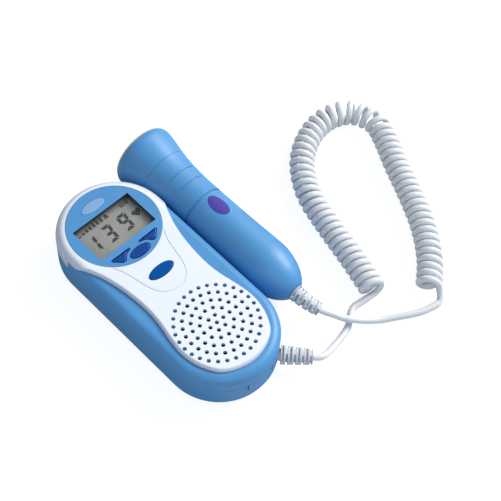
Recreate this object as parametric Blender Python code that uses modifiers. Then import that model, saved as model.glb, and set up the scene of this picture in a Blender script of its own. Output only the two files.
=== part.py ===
"""Fetal doppler monitor: a hand-held unit with a display and a speaker, and a
probe that a curly cord ties to it. Sizes are in metres and +Z is up. The origin
is on the table, at the centre of the unit's base. The display end is at +Y and
the probe lies beside the unit at +X."""

import math

import bmesh
import bpy
import numpy as np
from mathutils import Euler, Vector

# Clearances, shared by all pieces
GAP = 0.0003
TABLE_GAP = 0.00005
OVERRUN = 0.0020
WELD = 0.000001
MERGE = 0.00001

# Counts that set how fine the round shapes are
ARC_STEPS = 12
OVAL_STEPS = 14
TURN_STEPS = 20
SMALL_STEPS = 10
DISC_STEPS = 32
HOLE_SIDES = 6
ROUND_STEPS = 3

# Case of the unit
CASE_WIDTH = 0.0582
CASE_LENGTH = 0.1325
CASE_WALL = 0.0020
FLOOR = 0.0020
BASE_ROUND = 0.0060
SEAM_Z = 0.0153
PLATE_Z = 0.0250
PLATE_THICK = 0.0020
SHOULDER_ROUND = 0.0045
UPPER_WALL = 0.0040
UPPER_WALL_Z = 0.0184

# White face cover
FACE_Z = 0.0270
FACE_ROUND = 0.0050
FACE_LIP_ROUND = 0.0020
SKIRT_THICK = 0.0019
SKIRT_Z = 0.0190
SKIRT_NOTCH_Z = 0.0240
SKIRT_Y = 0.0387
SKIRT_NOTCH_Y = 0.0310
GROOVE_RADIUS = 0.0003
# Half outline of the cover from its near tip, as shares of the case's half
# length and half width
FACE_OUTLINE_SHARES = (
    (-0.915, 0.000), (-0.893, 0.285), (-0.836, 0.530), (-0.750, 0.672), (-0.640, 0.765),
    (-0.520, 0.792), (-0.392, 0.757), (-0.242, 0.692), (-0.106, 0.669), (0.045, 0.689),
    (0.181, 0.735), (0.302, 0.803), (0.408, 0.893), (0.490, 0.975), (0.570, 1.080),
)
# Half outline of the fine groove that runs round the power button
GROOVE_SHARES = (
    (-0.133, 0.000), (-0.124, 0.137), (-0.086, 0.258), (-0.030, 0.340), (0.060, 0.400),
    (0.180, 0.455), (0.250, 0.505), (0.299, 0.560),
)

# Display
BEZEL_Y = 0.0379
BEZEL_RADIUS = 0.02366
WINDOW_HALF_WIDTH = 0.0176
WINDOW_HALF_HEIGHT = 0.01055
WINDOW_Y = 0.03745
LENS_MARGIN = 0.0010
LENS_THICK = 0.0008
PANEL_THICK = 0.0016
BACKLIGHT_THICK = 0.0013
CONNECTOR_THICK = 0.0012
CONNECTOR_DEPTH = 0.0040
BADGE_Y = 0.0535
BADGE_HALF_WIDTH = 0.0069
BADGE_HALF_HEIGHT = 0.0029
BADGE_THICK = 0.0006
BADGE_PROUD = 0.0001

# Buttons
POWER_Y = 0.00345
POWER_HALF_WIDTH = 0.0072
POWER_HALF_HEIGHT = 0.00305
MODE_Y = 0.0185
MODE_HALF_WIDTH = 0.0059
MODE_HALF_HEIGHT = 0.0026
ARROW_X = 0.0092
ARROW_Y = 0.0214
ARROW_LENGTH = 0.0119
ARROW_HEIGHT = 0.0048
# Outline of an arrow button, as shares of its length and height from its stem
ARROW_SHARES = (
    (-0.480, 0.420), (-0.270, -0.080), (-0.140, -0.440), (-0.040, -0.560), (0.070, -0.470),
    (0.170, -0.130), (0.280, 0.090), (0.420, 0.190), (0.520, 0.240), (0.520, 0.390),
    (0.020, 0.360),
)
BUTTON_PROUD = 0.0006
BUTTON_EDGE = 0.0003
BUTTON_TRAVEL = 0.0005
FLANGE_WIDTH = 0.0004
FLANGE_THICK = 0.0012
STEM_RADIUS = 0.0014
STEM_LENGTH = 0.0006
PLUNGER_RADIUS = 0.0011
PLUNGER_HEIGHT = 0.0006
SWITCH_SIZE = 0.0045
KEYPAD_HALF_WIDTH = 0.0156
KEYPAD_LOW_Y = 0.0144
KEYPAD_HIGH_Y = 0.0245

# Circuit board in the unit
BOARD_THICK = 0.0016
BOARD_Z = 0.0173
BOARD_HALF_WIDTH = 0.0200
BOARD_LOW_Y = -0.0125
BOARD_HIGH_Y = 0.0505
POST_RADIUS = 0.0020
POST_X = 0.0160
POST_YS = (0.0080, 0.0440)

# Speaker and its grille
SPEAKER_Y = -0.0351
SPEAKER_RADIUS = 0.0215
SPEAKER_HOLE_RADIUS = 0.0190
GASKET_WIDTH = 0.0023
GASKET_THICK = 0.0005
SPEAKER_RIM_THICK = 0.0015
SPEAKER_RIM_WIDTH = 0.0032
SPEAKER_DEPTH = 0.0030
SPEAKER_METAL = 0.0005
BASKET_RADIUS = 0.0105
COIL_RADIUS = 0.0043
MAGNET_RADIUS = 0.0090
MAGNET_THICK = 0.0013
CONE_THICK = 0.0004
GRILLE_PITCH = 0.004093
GRILLE_RINGS = 5
GRILLE_FIRST_RING = 6
GRILLE_HOLE_RADIUS = 0.00105

# Batteries and their bay
CELL_RADIUS = 0.00725
CELL_LENGTH = 0.0505
CELL_NUB_RADIUS = 0.00275
CELL_NUB_HEIGHT = 0.0010
CELL_X = 0.0074
CELL_EDGE = 0.0005
BAY_WALL = 0.0012
BAY_HEIGHT = 0.0130
BAY_HALF_WIDTH = 0.0159
BAY_FAR_Y = 0.0025
CONTACT_THICK = 0.0004
CONTACT_HALF_WIDTH = 0.0042
CONTACT_HEIGHT = 0.0080
SPRING_LENGTH = 0.0025
SPRING_WIRE_RADIUS = 0.00025
SPRING_WIDE_RADIUS = 0.0034
SPRING_NARROW_RADIUS = 0.0024
SPRING_TURNS = 2.5
SPRING_POINTS = 8

# Battery door
DOOR_HALF_WIDTH = 0.0154
DOOR_FAR_Y = -0.0053
HOOK_HALF_WIDTH = 0.0025
HOOK_ROOT = 0.0014
HOOK_REACH = 0.0030
HOOK_THICK = 0.0010
THUMB_GROOVES = 3
THUMB_PITCH = 0.0022
THUMB_WIDTH = 0.0010
THUMB_DEPTH = 0.0005
THUMB_HALF_LENGTH = 0.0060
THUMB_Y = -0.0450

# Snap latch in the near wall
LATCH_HALF_WIDTH = 0.0078
LATCH_SLOT = 0.0008
LATCH_LOW_Z = 0.0109

# Screws that hold the two housings together
NEAR_SCREW_X = 0.0196
NEAR_SCREW_Y = -0.0170
FAR_SCREW_X = 0.0115
FAR_SCREW_Y = 0.0545
BOSS_RADIUS = 0.0030
SCREW_BORE = 0.0015
SCREW_RADIUS = 0.0012
SCREW_HEAD_RADIUS = 0.0026
SCREW_HEAD_Z = 0.0006
SCREW_HEAD_THICK = 0.0021
SCREW_TOP_Z = 0.0210
SCREW_POINT = 0.0006

# Probe
PROBE_LENGTH = 0.1099
PROBE_TAIL = -0.0436
PROBE_HEAD_RADIUS = 0.0176
PROBE_X = 0.0442
PROBE_YAW = math.radians(1.15)
PROBE_WALL = 0.0018
HEAD_SEAM = 0.0493
GRIP_SEAM = 0.0203
SEAM_GROOVE_DEPTH = 0.0008
SEAM_GROOVE_WIDTH = 0.0007
# Outline of the probe from its tail, as shares of its length and head radius
PROBE_SHARES = (
    (0.0000, 0.262), (0.0064, 0.324), (0.0237, 0.432), (0.0500, 0.546), (0.0783, 0.636),
    (0.1146, 0.712), (0.1510, 0.764), (0.1980, 0.787), (0.3140, 0.767), (0.4740, 0.747),
    (0.5814, 0.739), (0.6515, 0.740), (0.7170, 0.754), (0.7880, 0.790), (0.8450, 0.844),
    (0.9040, 0.923), (0.9430, 0.972), (0.9730, 1.000), (0.9900, 0.983), (1.0000, 0.952),
)
SPIGOT_LENGTH = 0.0040
SPIGOT_WALL = 0.0013
GRIP_SPIGOT_LENGTH = 0.0060
NECK_RELIEF = 0.0017
TAIL_WALL = 0.0020
THUMB_RING_PLACES = (0.0388, 0.0315)
THUMB_RING_WIDTH = 0.0004
THUMB_RING_DEPTH = 0.0004
THUMB_RING_ANGLE = math.radians(82.5)
THUMB_RING_HALF_SPAN = math.radians(35.5)
PROBE_BADGE_PLACE = 0.0121
PROBE_BADGE_ANGLE = math.radians(83.5)
PROBE_BADGE_HALF_LENGTH = 0.0066
PROBE_BADGE_HALF_WIDTH = 0.0040
PROBE_BADGE_THICK = 0.0005

# What the probe's head holds
FACE_CAP_RADIUS = 0.0163
FACE_CAP_THICK = 0.0014
FACE_CAP_CROWN = 0.0007
FACE_PLUG_RADIUS = 0.0146
FACE_PLUG_LENGTH = 0.0020
HEAD_BORE = 0.0136
SEAL_THICK = 0.0010
CRYSTAL_RADIUS = 0.0120
CRYSTAL_THICK = 0.0008
CRYSTAL_SPLIT = 0.0010
BACKING_RADIUS = 0.0126
BACKING_LENGTH = 0.0053
PROBE_BOARD_THICK = 0.0016
PROBE_BOARD_HALF_WIDTH = 0.0108
PROBE_BOARD_START = 0.0240

# Cords
CORD_RADIUS = 0.00177
LEAD_STEP = 0.0042
CURL_RADIUS = 0.0051
CURL_COUNT = 56.75
CURL_POINTS = 8
RELIEF_RIBS = 9
RELIEF_NECK = 0.0030
RELIEF_GROOVE = 0.0012
RELIEF_RIB_SHARE = 0.62
UNIT_RELIEF_AZIMUTH = math.radians(-55.35)
UNIT_RELIEF_HEADING = math.radians(-47.7)
UNIT_RELIEF_Z = 0.0090
UNIT_RELIEF_LENGTH = 0.01735
UNIT_RELIEF_START = 0.0019
UNIT_RELIEF_ROOT = 0.0049
UNIT_RELIEF_TIP = 0.0038
UNIT_RELIEF_FLANGE = 0.0040
UNIT_RELIEF_FLANGE_THICK = 0.0010
UNIT_RELIEF_FLANGE_PLACE = -0.0034
PROBE_RELIEF_LENGTH = 0.0142
PROBE_RELIEF_ROOT = 0.0045
PROBE_RELIEF_TIP = 0.0036
PROBE_RELIEF_FLANGE = 0.0043
PROBE_RELIEF_FLANGE_THICK = 0.0013
PROBE_RELIEF_TIP_POINT = (0.0482, -0.0572, 0.0100)

# Routes of the cords, chosen by hand where the photograph shows them
UNIT_LEAD_ROUTE = (
    (0.0277, -0.0731, 0.0090), (0.0308, -0.0755, 0.0084), (0.0348, -0.0757, 0.0068),
    (0.0387, -0.0749, 0.0045), (0.0432, -0.0740, 0.0027), (0.0487, -0.0731, 0.0019),
    (0.0551, -0.0713, 0.0019), (0.0590, -0.0690, 0.0019), (0.0624, -0.0667, 0.0019),
    (0.0659, -0.0655, 0.0019), (0.0697, -0.0660, 0.0019),
)
CURL_START_ROUTE = ((0.0700, -0.0660, 0.0019), (0.0738, -0.0665, 0.0019))
CURL_ROUTE = (
    (0.0777, -0.0669), (0.0833, -0.0469), (0.0886, -0.0254), (0.0950, -0.0049),
    (0.1065, 0.0112), (0.1215, 0.0205), (0.1370, 0.0228), (0.1500, 0.0170), (0.1550, 0.0045),
    (0.1508, -0.0080), (0.1435, -0.0216), (0.1342, -0.0407), (0.1243, -0.0585),
    (0.1123, -0.0736), (0.0995, -0.0845),
)
CURL_END_ROUTE = (
    (0.1019, -0.0905, 0.0038), (0.0998, -0.0926, 0.0020), (0.0962, -0.0926, 0.0019),
    (0.0926, -0.0915, 0.0019),
)
PROBE_LEAD_ROUTE = (
    (0.0483, -0.0576, 0.0099), (0.0496, -0.0603, 0.0095), (0.0517, -0.0632, 0.0086),
    (0.0543, -0.0670, 0.0072), (0.0573, -0.0705, 0.0062), (0.0606, -0.0733, 0.0050),
    (0.0651, -0.0764, 0.0034), (0.0705, -0.0798, 0.0021), (0.0763, -0.0832, 0.0019),
    (0.0830, -0.0873, 0.0019), (0.0887, -0.0903, 0.0019), (0.0923, -0.0914, 0.0019),
)

# Finishes: colour, roughness and metallic value
SKY_BLUE = ((0.130, 0.345, 0.670), 0.42, 0.0)
WHITE_FACE = ((0.800, 0.840, 0.900), 0.38, 0.0)
BUTTON_BLUE = ((0.020, 0.070, 0.300), 0.35, 0.0)
POWER_BLUE = ((0.010, 0.100, 0.360), 0.30, 0.0)
BADGE_BLUE = ((0.400, 0.560, 0.800), 0.30, 0.0)
BADGE_PURPLE = ((0.095, 0.085, 0.350), 0.30, 0.0)
CORD_WHITE = ((0.620, 0.660, 0.720), 0.35, 0.0)
RELIEF_WHITE = ((0.680, 0.700, 0.720), 0.45, 0.0)
CLEAR_LENS = ((0.700, 0.720, 0.700), 0.08, 0.0)
LCD_GREY = ((0.330, 0.330, 0.310), 0.30, 0.0)
DARK_PLASTIC = ((0.030, 0.030, 0.035), 0.50, 0.0)
BOARD_GREEN = ((0.020, 0.150, 0.060), 0.45, 0.0)
STEEL = ((0.600, 0.600, 0.620), 0.30, 1.0)
FERRITE = ((0.060, 0.060, 0.065), 0.60, 0.2)
PAPER = ((0.090, 0.090, 0.090), 0.80, 0.0)
CELL_SLEEVE = ((0.070, 0.100, 0.140), 0.35, 0.0)
SOFT_RUBBER = ((0.020, 0.020, 0.020), 0.70, 0.0)
FACE_CREAM = ((0.700, 0.690, 0.650), 0.40, 0.0)
CERAMIC = ((0.450, 0.350, 0.200), 0.50, 0.0)
EPOXY = ((0.150, 0.120, 0.100), 0.60, 0.0)

# Places that follow from the sizes above
CASE_RADIUS = CASE_WIDTH / 2
CASE_HALF_LENGTH = CASE_LENGTH / 2
ARC_Y = CASE_HALF_LENGTH - CASE_RADIUS
COVER_FLOOR_Z = PLATE_Z + GAP
CEILING_Z = PLATE_Z - PLATE_THICK
FRONT_LOW_Z = SEAM_Z + GAP
DECK_INSET = SKIRT_THICK + GAP
LENS_Z = PLATE_Z - LENS_THICK
PANEL_Z = LENS_Z - GAP - PANEL_THICK
BACKLIGHT_Z = PANEL_Z - GAP - BACKLIGHT_THICK
CONNECTOR_Z = BACKLIGHT_Z - GAP - CONNECTOR_THICK
BOARD_TOP = BOARD_Z + BOARD_THICK
LENS_HALF_WIDTH = WINDOW_HALF_WIDTH + LENS_MARGIN
LENS_HALF_HEIGHT = WINDOW_HALF_HEIGHT + LENS_MARGIN
FLANGE_Z = PLATE_Z - FLANGE_THICK
STEM_Z = FLANGE_Z - STEM_LENGTH
PLUNGER_Z = STEM_Z - BUTTON_TRAVEL - GAP / 3
SWITCH_TOP = PLUNGER_Z - PLUNGER_HEIGHT
CELL_Z = FLOOR + GAP + CELL_RADIUS
DOOR_LOW_Y = -CASE_HALF_LENGTH - OVERRUN
BAY_NEAR_Y = BAY_FAR_Y - 2 * GAP - 2 * CONTACT_THICK - CELL_LENGTH - 3 * GAP - SPRING_LENGTH - GAP
CELL_NEAR_Y = BAY_NEAR_Y + GAP + CONTACT_THICK + GAP
CELL_FAR_Y = BAY_FAR_Y - GAP - CONTACT_THICK - GAP
PROBE_FRONT = PROBE_TAIL + PROBE_LENGTH
FACE_PLUG_END = PROBE_FRONT + GAP - FACE_PLUG_LENGTH
CRYSTAL_END = FACE_PLUG_END - GAP - CRYSTAL_THICK
BACKING_END = CRYSTAL_END - GAP - BACKING_LENGTH

PARTS = None
CUTTERS = None


def new_collection(name):
    group = bpy.data.collections.new(name)
    bpy.context.scene.collection.children.link(group)
    return group


def clear_scene():
    for old in list(bpy.data.objects):
        bpy.data.objects.remove(old, do_unlink=True)


# Helpers that make and shape solids

def paint(obj, finish):
    colour, roughness, metallic = finish
    material = bpy.data.materials.new(obj.name)
    material.use_nodes = True
    shader = material.node_tree.nodes["Principled BSDF"]
    shader.inputs["Base Color"].default_value = (*colour, 1.0)
    shader.inputs["Roughness"].default_value = roughness
    shader.inputs["Metallic"].default_value = metallic
    material.diffuse_color = (*colour, 1.0)
    obj.data.materials.clear()
    obj.data.materials.append(material)
    return obj


def link(name, data, group, origin=(0.0, 0.0, 0.0)):
    """Add data as an object to the parts or the cutters."""
    obj = bpy.data.objects.new(name, data)
    obj.location = origin
    group.objects.link(obj)
    if group is CUTTERS:
        obj.hide_render = True
        obj.display_type = "WIRE"
    return obj


def link_mesh(name, bm, group, origin=(0.0, 0.0, 0.0)):
    bmesh.ops.translate(bm, vec=-Vector(origin), verts=bm.verts)
    mesh = bpy.data.meshes.new(name)
    bm.to_mesh(mesh)
    bm.free()
    return link(name, mesh, group, origin)


def curve_solid(source):
    """Weld a curve object's shape into one closed bmesh in world space."""
    depsgraph = bpy.context.evaluated_depsgraph_get()
    mesh = bpy.data.meshes.new_from_object(source.evaluated_get(depsgraph))
    bm = bmesh.new()
    bm.from_mesh(mesh)
    bmesh.ops.transform(bm, matrix=source.matrix_world, verts=bm.verts)
    bmesh.ops.remove_doubles(bm, verts=bm.verts, dist=WELD)
    bmesh.ops.recalc_face_normals(bm, faces=bm.faces)
    bpy.data.objects.remove(source)
    bpy.data.meshes.remove(mesh)
    return bm


def block(name, outline, low, high, group, low_round=0.0, high_round=0.0, origin=(0.0, 0.0, 0.0)):
    """An upright solid with a flat outline, its low and high rims rounded."""
    curve = bpy.data.curves.new(name, "CURVE")
    curve.dimensions = "2D"
    curve.fill_mode = "BOTH"
    curve.extrude = (high - low) / 2
    spline = curve.splines.new("POLY")
    spline.points.add(len(outline) - 1)
    for point, (x, y) in zip(spline.points, outline):
        point.co = (x, y, 0.0, 1.0)
    spline.use_cyclic_u = True
    source = link(name + "_outline", curve, group, (0.0, 0.0, (low + high) / 2))
    bm = curve_solid(source)
    bmesh.ops.dissolve_limit(bm, angle_limit=math.radians(1), verts=bm.verts, edges=bm.edges)
    for level, radius in ((low, low_round), (high, high_round)):
        if radius > 0:
            rim = [edge for edge in bm.edges if all(abs(v.co.z - level) < WELD for v in edge.verts)]
            bmesh.ops.bevel(bm, geom=rim, offset=radius, segments=ROUND_STEPS, profile=0.5,
                            affect="EDGES", clamp_overlap=False)
    return link_mesh(name, bm, group, origin)


def box(name, low, high, group, origin=(0.0, 0.0, 0.0)):
    bm = bmesh.new()
    bmesh.ops.create_cube(bm, size=1.0)
    size = [top - bottom for bottom, top in zip(low, high)]
    middle = [(top + bottom) / 2 for bottom, top in zip(low, high)]
    bmesh.ops.scale(bm, vec=size, verts=bm.verts)
    bmesh.ops.translate(bm, vec=middle, verts=bm.verts)
    return link_mesh(name, bm, group, origin)


def add_cylinder(bm, centre, radius, low, high, sides):
    made = bmesh.ops.create_cone(bm, cap_ends=True, segments=sides, radius1=radius,
                                 radius2=radius, depth=high - low)
    middle = (centre[0], centre[1], (low + high) / 2)
    bmesh.ops.translate(bm, vec=middle, verts=made["verts"])


def cylinder(name, centre, radius, low, high, group, sides=SMALL_STEPS):
    bm = bmesh.new()
    add_cylinder(bm, centre, radius, low, high, sides)
    return link_mesh(name, bm, group)


def turned(name, profile, group, steps=TURN_STEPS, ring=False, origin=(0.0, 0.0, 0.0)):
    """A solid of revolution. The profile runs down its outer side, and a ring's
    profile closes on itself."""
    edges = [(i, i + 1) for i in range(len(profile) - 1)]
    if ring:
        edges.append((len(profile) - 1, 0))
    mesh = bpy.data.meshes.new(name)
    mesh.from_pydata([(radius, 0.0, height) for radius, height in profile], edges, [])
    obj = link(name, mesh, group, origin)
    screw = obj.modifiers.new("Turn", "SCREW")
    screw.steps = steps
    screw.render_steps = steps
    screw.use_merge_vertices = True
    screw.merge_threshold = MERGE
    screw.use_smooth_shade = True
    return obj


def tube(name, points, radii, group, resolution):
    """One closed tube through the points, with a radius at each point."""
    curve = bpy.data.curves.new(name, "CURVE")
    curve.dimensions = "3D"
    curve.bevel_depth = max(radii)
    curve.bevel_resolution = resolution
    curve.use_fill_caps = True
    spline = curve.splines.new("POLY")
    spline.points.add(len(points) - 1)
    for point, place, radius in zip(spline.points, points, radii):
        point.co = (*place, 1.0)
        point.radius = radius / max(radii)
    source = link(name + "_line", curve, group)
    obj = link_mesh(name, curve_solid(source), group)
    obj.data.shade_smooth()
    obj.data.set_sharp_from_angle(angle=math.radians(50))
    return obj


def combine(obj, other, operation):
    modifier = obj.modifiers.new(other.name, "BOOLEAN")
    modifier.operation = operation
    modifier.solver = "EXACT"
    modifier.object = other
    return obj


def cut(obj, *others):
    for other in others:
        combine(obj, other, "DIFFERENCE")
    return obj


def join(obj, *others):
    for other in others:
        combine(obj, other, "UNION")
    return obj


def keep_inside(obj, other):
    return combine(obj, other, "INTERSECT")


# Outlines and smooth lines

def stadium(inset):
    """The case's outline, drawn in by an inset."""
    radius = CASE_RADIUS - inset
    points = []
    for end, start in ((-ARC_Y, math.pi), (ARC_Y, 0.0)):
        for i in range(ARC_STEPS + 1):
            angle = start + math.pi * i / ARC_STEPS
            points.append((radius * math.cos(angle), end + radius * math.sin(angle)))
    return points


def oval(centre_x, centre_y, half_x, half_y, steps=OVAL_STEPS):
    angles = [2 * math.pi * i / steps for i in range(steps)]
    return [(centre_x + half_x * math.cos(a), centre_y + half_y * math.sin(a)) for a in angles]


def smooth_line(route, step):
    """Points at even steps along a smooth curve through the route's points."""
    route = np.array(route, dtype=float)
    padded = np.vstack((2 * route[0] - route[1], route, 2 * route[-1] - route[-2]))
    pieces = []
    shares = np.linspace(0.0, 1.0, 40, endpoint=False)[:, None]
    for a, b, c, d in zip(padded, padded[1:], padded[2:], padded[3:]):
        bend = (2 * a - 5 * b + 4 * c - d) * shares**2 + (3 * b - a - 3 * c + d) * shares**3
        pieces.append((2 * b + (c - a) * shares + bend) / 2)
    dense = np.vstack(pieces + [route[-1:]])
    lengths = np.concatenate(([0.0], np.cumsum(np.linalg.norm(np.diff(dense, axis=0), axis=1))))
    count = max(2, round(lengths[-1] / step) + 1)
    places = np.linspace(0.0, lengths[-1], count)
    return np.column_stack([np.interp(places, lengths, dense[:, k]) for k in range(dense.shape[1])])


def outset(outline, width):
    """Move each point of a counter-clockwise outline outwards by a width."""
    moved = []
    for before, here, after in zip(outline[-1:] + outline, outline, outline[1:] + outline[:1]):
        one = (Vector(here) - Vector(before)).normalized()
        two = (Vector(after) - Vector(here)).normalized()
        normal = (Vector((one.y, -one.x)) + Vector((two.y, -two.x))).normalized()
        reach = width / max(0.5, normal.dot(Vector((one.y, -one.x))))
        moved.append((here[0] + normal.x * reach, here[1] + normal.y * reach))
    return moved


def face_outline():
    """The cover's keyhole outline. It runs out past the case at the display end."""
    shares = [(CASE_RADIUS * x, CASE_HALF_LENGTH * y) for y, x in FACE_OUTLINE_SHARES]
    right = [tuple(p) for p in smooth_line(shares, CASE_RADIUS / 7)]
    far = (right[-1][0], CASE_HALF_LENGTH + OVERRUN)
    left = [(-x, y) for x, y in right[:0:-1]]
    return right + [far, (-far[0], far[1])] + left


# Rear housing and what it holds

def screw_places():
    near = [(side * NEAR_SCREW_X, NEAR_SCREW_Y) for side in (-1, 1)]
    far = [(side * FAR_SCREW_X, FAR_SCREW_Y) for side in (-1, 1)]
    return near + far


def make_rear_housing():
    rear = block("rear_housing", stadium(0.0), 0.0, SEAM_Z, PARTS, low_round=BASE_ROUND)
    cut(rear, block("rear_cavity", stadium(CASE_WALL), FLOOR, SEAM_Z + OVERRUN, CUTTERS,
                    low_round=BASE_ROUND - FLOOR))
    low_z = FLOOR / 2
    bay_x = BAY_HALF_WIDTH + BAY_WALL
    bay = box("battery_bay", (-bay_x, BAY_NEAR_Y - BAY_WALL, low_z),
              (bay_x, BAY_FAR_Y + BAY_WALL, BAY_HEIGHT), CUTTERS)
    cut(bay, box("battery_bay_room", (-BAY_HALF_WIDTH, BAY_NEAR_Y, -OVERRUN),
                 (BAY_HALF_WIDTH, BAY_FAR_Y, BAY_HEIGHT + OVERRUN), CUTTERS))
    join(rear, bay)
    posts = bmesh.new()
    for x, y in screw_places():
        add_cylinder(posts, (x, y), BOSS_RADIUS, low_z, SEAM_Z, SMALL_STEPS)
    for x in (-POST_X, POST_X):
        for y in POST_YS:
            add_cylinder(posts, (x, y), POST_RADIUS, low_z, BOARD_Z - GAP, SMALL_STEPS)
    join(rear, link_mesh("rear_posts", posts, CUTTERS))
    bores = bmesh.new()
    for x, y in screw_places():
        add_cylinder(bores, (x, y), SCREW_BORE, -OVERRUN, SEAM_Z + OVERRUN, SMALL_STEPS)
    cut(rear, link_mesh("rear_bores", bores, CUTTERS))
    heads = bmesh.new()
    head_top = SCREW_HEAD_Z + SCREW_HEAD_THICK + GAP
    for x, y in screw_places():
        add_cylinder(heads, (x, y), SCREW_HEAD_RADIUS + GAP, -OVERRUN, head_top, SMALL_STEPS)
    cut(rear, link_mesh("rear_head_recesses", heads, CUTTERS))
    opening_x = DOOR_HALF_WIDTH + GAP
    cut(rear, box("door_opening", (-opening_x, DOOR_LOW_Y, -OVERRUN),
                  (opening_x, DOOR_FAR_Y + GAP, FLOOR + GAP), CUTTERS))
    slots = bmesh.new()
    for side in (-1, 1):
        made = bmesh.ops.create_cube(slots, size=1.0)
        slot_height = SEAM_Z + OVERRUN - LATCH_LOW_Z
        bmesh.ops.scale(slots, vec=(LATCH_SLOT, CASE_WALL * 4, slot_height), verts=made["verts"])
        place = (side * LATCH_HALF_WIDTH, -CASE_HALF_LENGTH + CASE_WALL, LATCH_LOW_Z + slot_height / 2)
        bmesh.ops.translate(slots, vec=place, verts=made["verts"])
    cut(rear, link_mesh("latch_slots", slots, CUTTERS))
    root, heading = unit_relief_line()
    hole_line = [root - heading * CASE_WALL * 2, root + heading * CASE_WALL * 2]
    hole = tube("lead_hole", hole_line, [RELIEF_NECK + GAP] * 2, CUTTERS, 3)
    cut(rear, hole)
    return paint(rear, SKY_BLUE)


def make_battery_door():
    door = block("battery_door", stadium(0.0), 0.0, SEAM_Z, PARTS, low_round=BASE_ROUND,
                 origin=(0.0, DOOR_FAR_Y, 0.0))
    keep_inside(door, box("door_extent", (-DOOR_HALF_WIDTH, DOOR_LOW_Y, -OVERRUN),
                          (DOOR_HALF_WIDTH, DOOR_FAR_Y, FLOOR), CUTTERS))
    hook_top = FLOOR + GAP + HOOK_THICK
    riser = box("door_hook", (-HOOK_HALF_WIDTH, DOOR_FAR_Y - HOOK_ROOT - GAP, FLOOR / 2),
                (HOOK_HALF_WIDTH, DOOR_FAR_Y - GAP, hook_top), CUTTERS)
    join(riser, box("door_hook_tip", (-HOOK_HALF_WIDTH, DOOR_FAR_Y - HOOK_ROOT / 2, FLOOR + GAP),
                    (HOOK_HALF_WIDTH, DOOR_FAR_Y + HOOK_REACH, hook_top), CUTTERS))
    join(door, riser)
    grooves = bmesh.new()
    for i in range(THUMB_GROOVES):
        made = bmesh.ops.create_cube(grooves, size=1.0)
        size = (2 * THUMB_HALF_LENGTH, THUMB_WIDTH, 2 * THUMB_DEPTH)
        bmesh.ops.scale(grooves, vec=size, verts=made["verts"])
        bmesh.ops.translate(grooves, vec=(0.0, THUMB_Y + i * THUMB_PITCH, 0.0), verts=made["verts"])
    cut(door, link_mesh("thumb_grooves", grooves, CUTTERS))
    return paint(door, SKY_BLUE)


def make_cell(name, x, nub_forward):
    """One AA cell. Its nub points to +Y, or to -Y at the near strap."""
    top = CELL_LENGTH - CELL_NUB_HEIGHT
    profile = [(0.0, CELL_LENGTH), (CELL_NUB_RADIUS, CELL_LENGTH), (CELL_NUB_RADIUS, top),
               (CELL_RADIUS - CELL_EDGE, top), (CELL_RADIUS, top - CELL_EDGE),
               (CELL_RADIUS, CELL_EDGE), (CELL_RADIUS - CELL_EDGE, 0.0), (0.0, 0.0)]
    if nub_forward:
        origin = (x, CELL_FAR_Y - CELL_LENGTH, CELL_Z)
        turn = -math.pi / 2
    else:
        origin = (x, CELL_NEAR_Y + CELL_LENGTH, CELL_Z)
        turn = math.pi / 2
    cell = turned(name, profile, PARTS, steps=SMALL_STEPS, origin=origin)
    cell.rotation_euler.x = turn
    return paint(cell, CELL_SLEEVE)


def make_spring(name, x, wide_y, narrow_y):
    """A short cone of wire, its wide end on a contact."""
    inner = SPRING_WIRE_RADIUS if narrow_y > wide_y else -SPRING_WIRE_RADIUS
    count = round(SPRING_TURNS * SPRING_POINTS)
    points = []
    for i in range(count + 1):
        share = i / count
        angle = 2 * math.pi * SPRING_TURNS * share
        radius = SPRING_WIDE_RADIUS + (SPRING_NARROW_RADIUS - SPRING_WIDE_RADIUS) * share
        y = wide_y + inner + (narrow_y - wide_y - 2 * inner) * share
        points.append((x + radius * math.cos(angle), y, CELL_Z + radius * math.sin(angle)))
    spring = tube(name, points, [SPRING_WIRE_RADIUS] * len(points), PARTS, 0)
    return paint(spring, STEEL)


def make_contact(name, x, half_width, y_low):
    contact = box(name, (x - half_width, y_low, CELL_Z - CONTACT_HEIGHT / 2),
                  (x + half_width, y_low + CONTACT_THICK, CELL_Z + CONTACT_HEIGHT / 2), PARTS)
    return paint(contact, STEEL)


def make_batteries():
    make_cell("battery_1", -CELL_X, True)
    make_cell("battery_2", CELL_X, False)
    strap_y = BAY_NEAR_Y + GAP
    far_y = BAY_FAR_Y - GAP - CONTACT_THICK
    make_contact("near_contact_strap", 0.0, CELL_X + CONTACT_HALF_WIDTH, strap_y)
    make_contact("positive_contact", -CELL_X, CONTACT_HALF_WIDTH, far_y)
    make_contact("negative_contact", CELL_X, CONTACT_HALF_WIDTH, far_y)
    make_spring("battery_spring_1", -CELL_X, CELL_NEAR_Y, CELL_FAR_Y - CELL_LENGTH - GAP)
    make_spring("battery_spring_2", CELL_X, CELL_FAR_Y, CELL_NEAR_Y + CELL_LENGTH + GAP)


def make_screws():
    head_top = SCREW_HEAD_Z + SCREW_HEAD_THICK
    profile = [(0.0, SCREW_TOP_Z), (SCREW_RADIUS / 2, SCREW_TOP_Z),
               (SCREW_RADIUS, SCREW_TOP_Z - SCREW_POINT), (SCREW_RADIUS, head_top),
               (SCREW_HEAD_RADIUS, head_top), (SCREW_HEAD_RADIUS, SCREW_HEAD_Z),
               (0.0, SCREW_HEAD_Z)]
    for number, (x, y) in enumerate(screw_places(), 1):
        screw = turned("housing_screw_%d" % number, profile, PARTS, steps=SMALL_STEPS,
                       origin=(x, y, 0.0))
        paint(screw, STEEL)


# Front housing, cover and display

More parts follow.
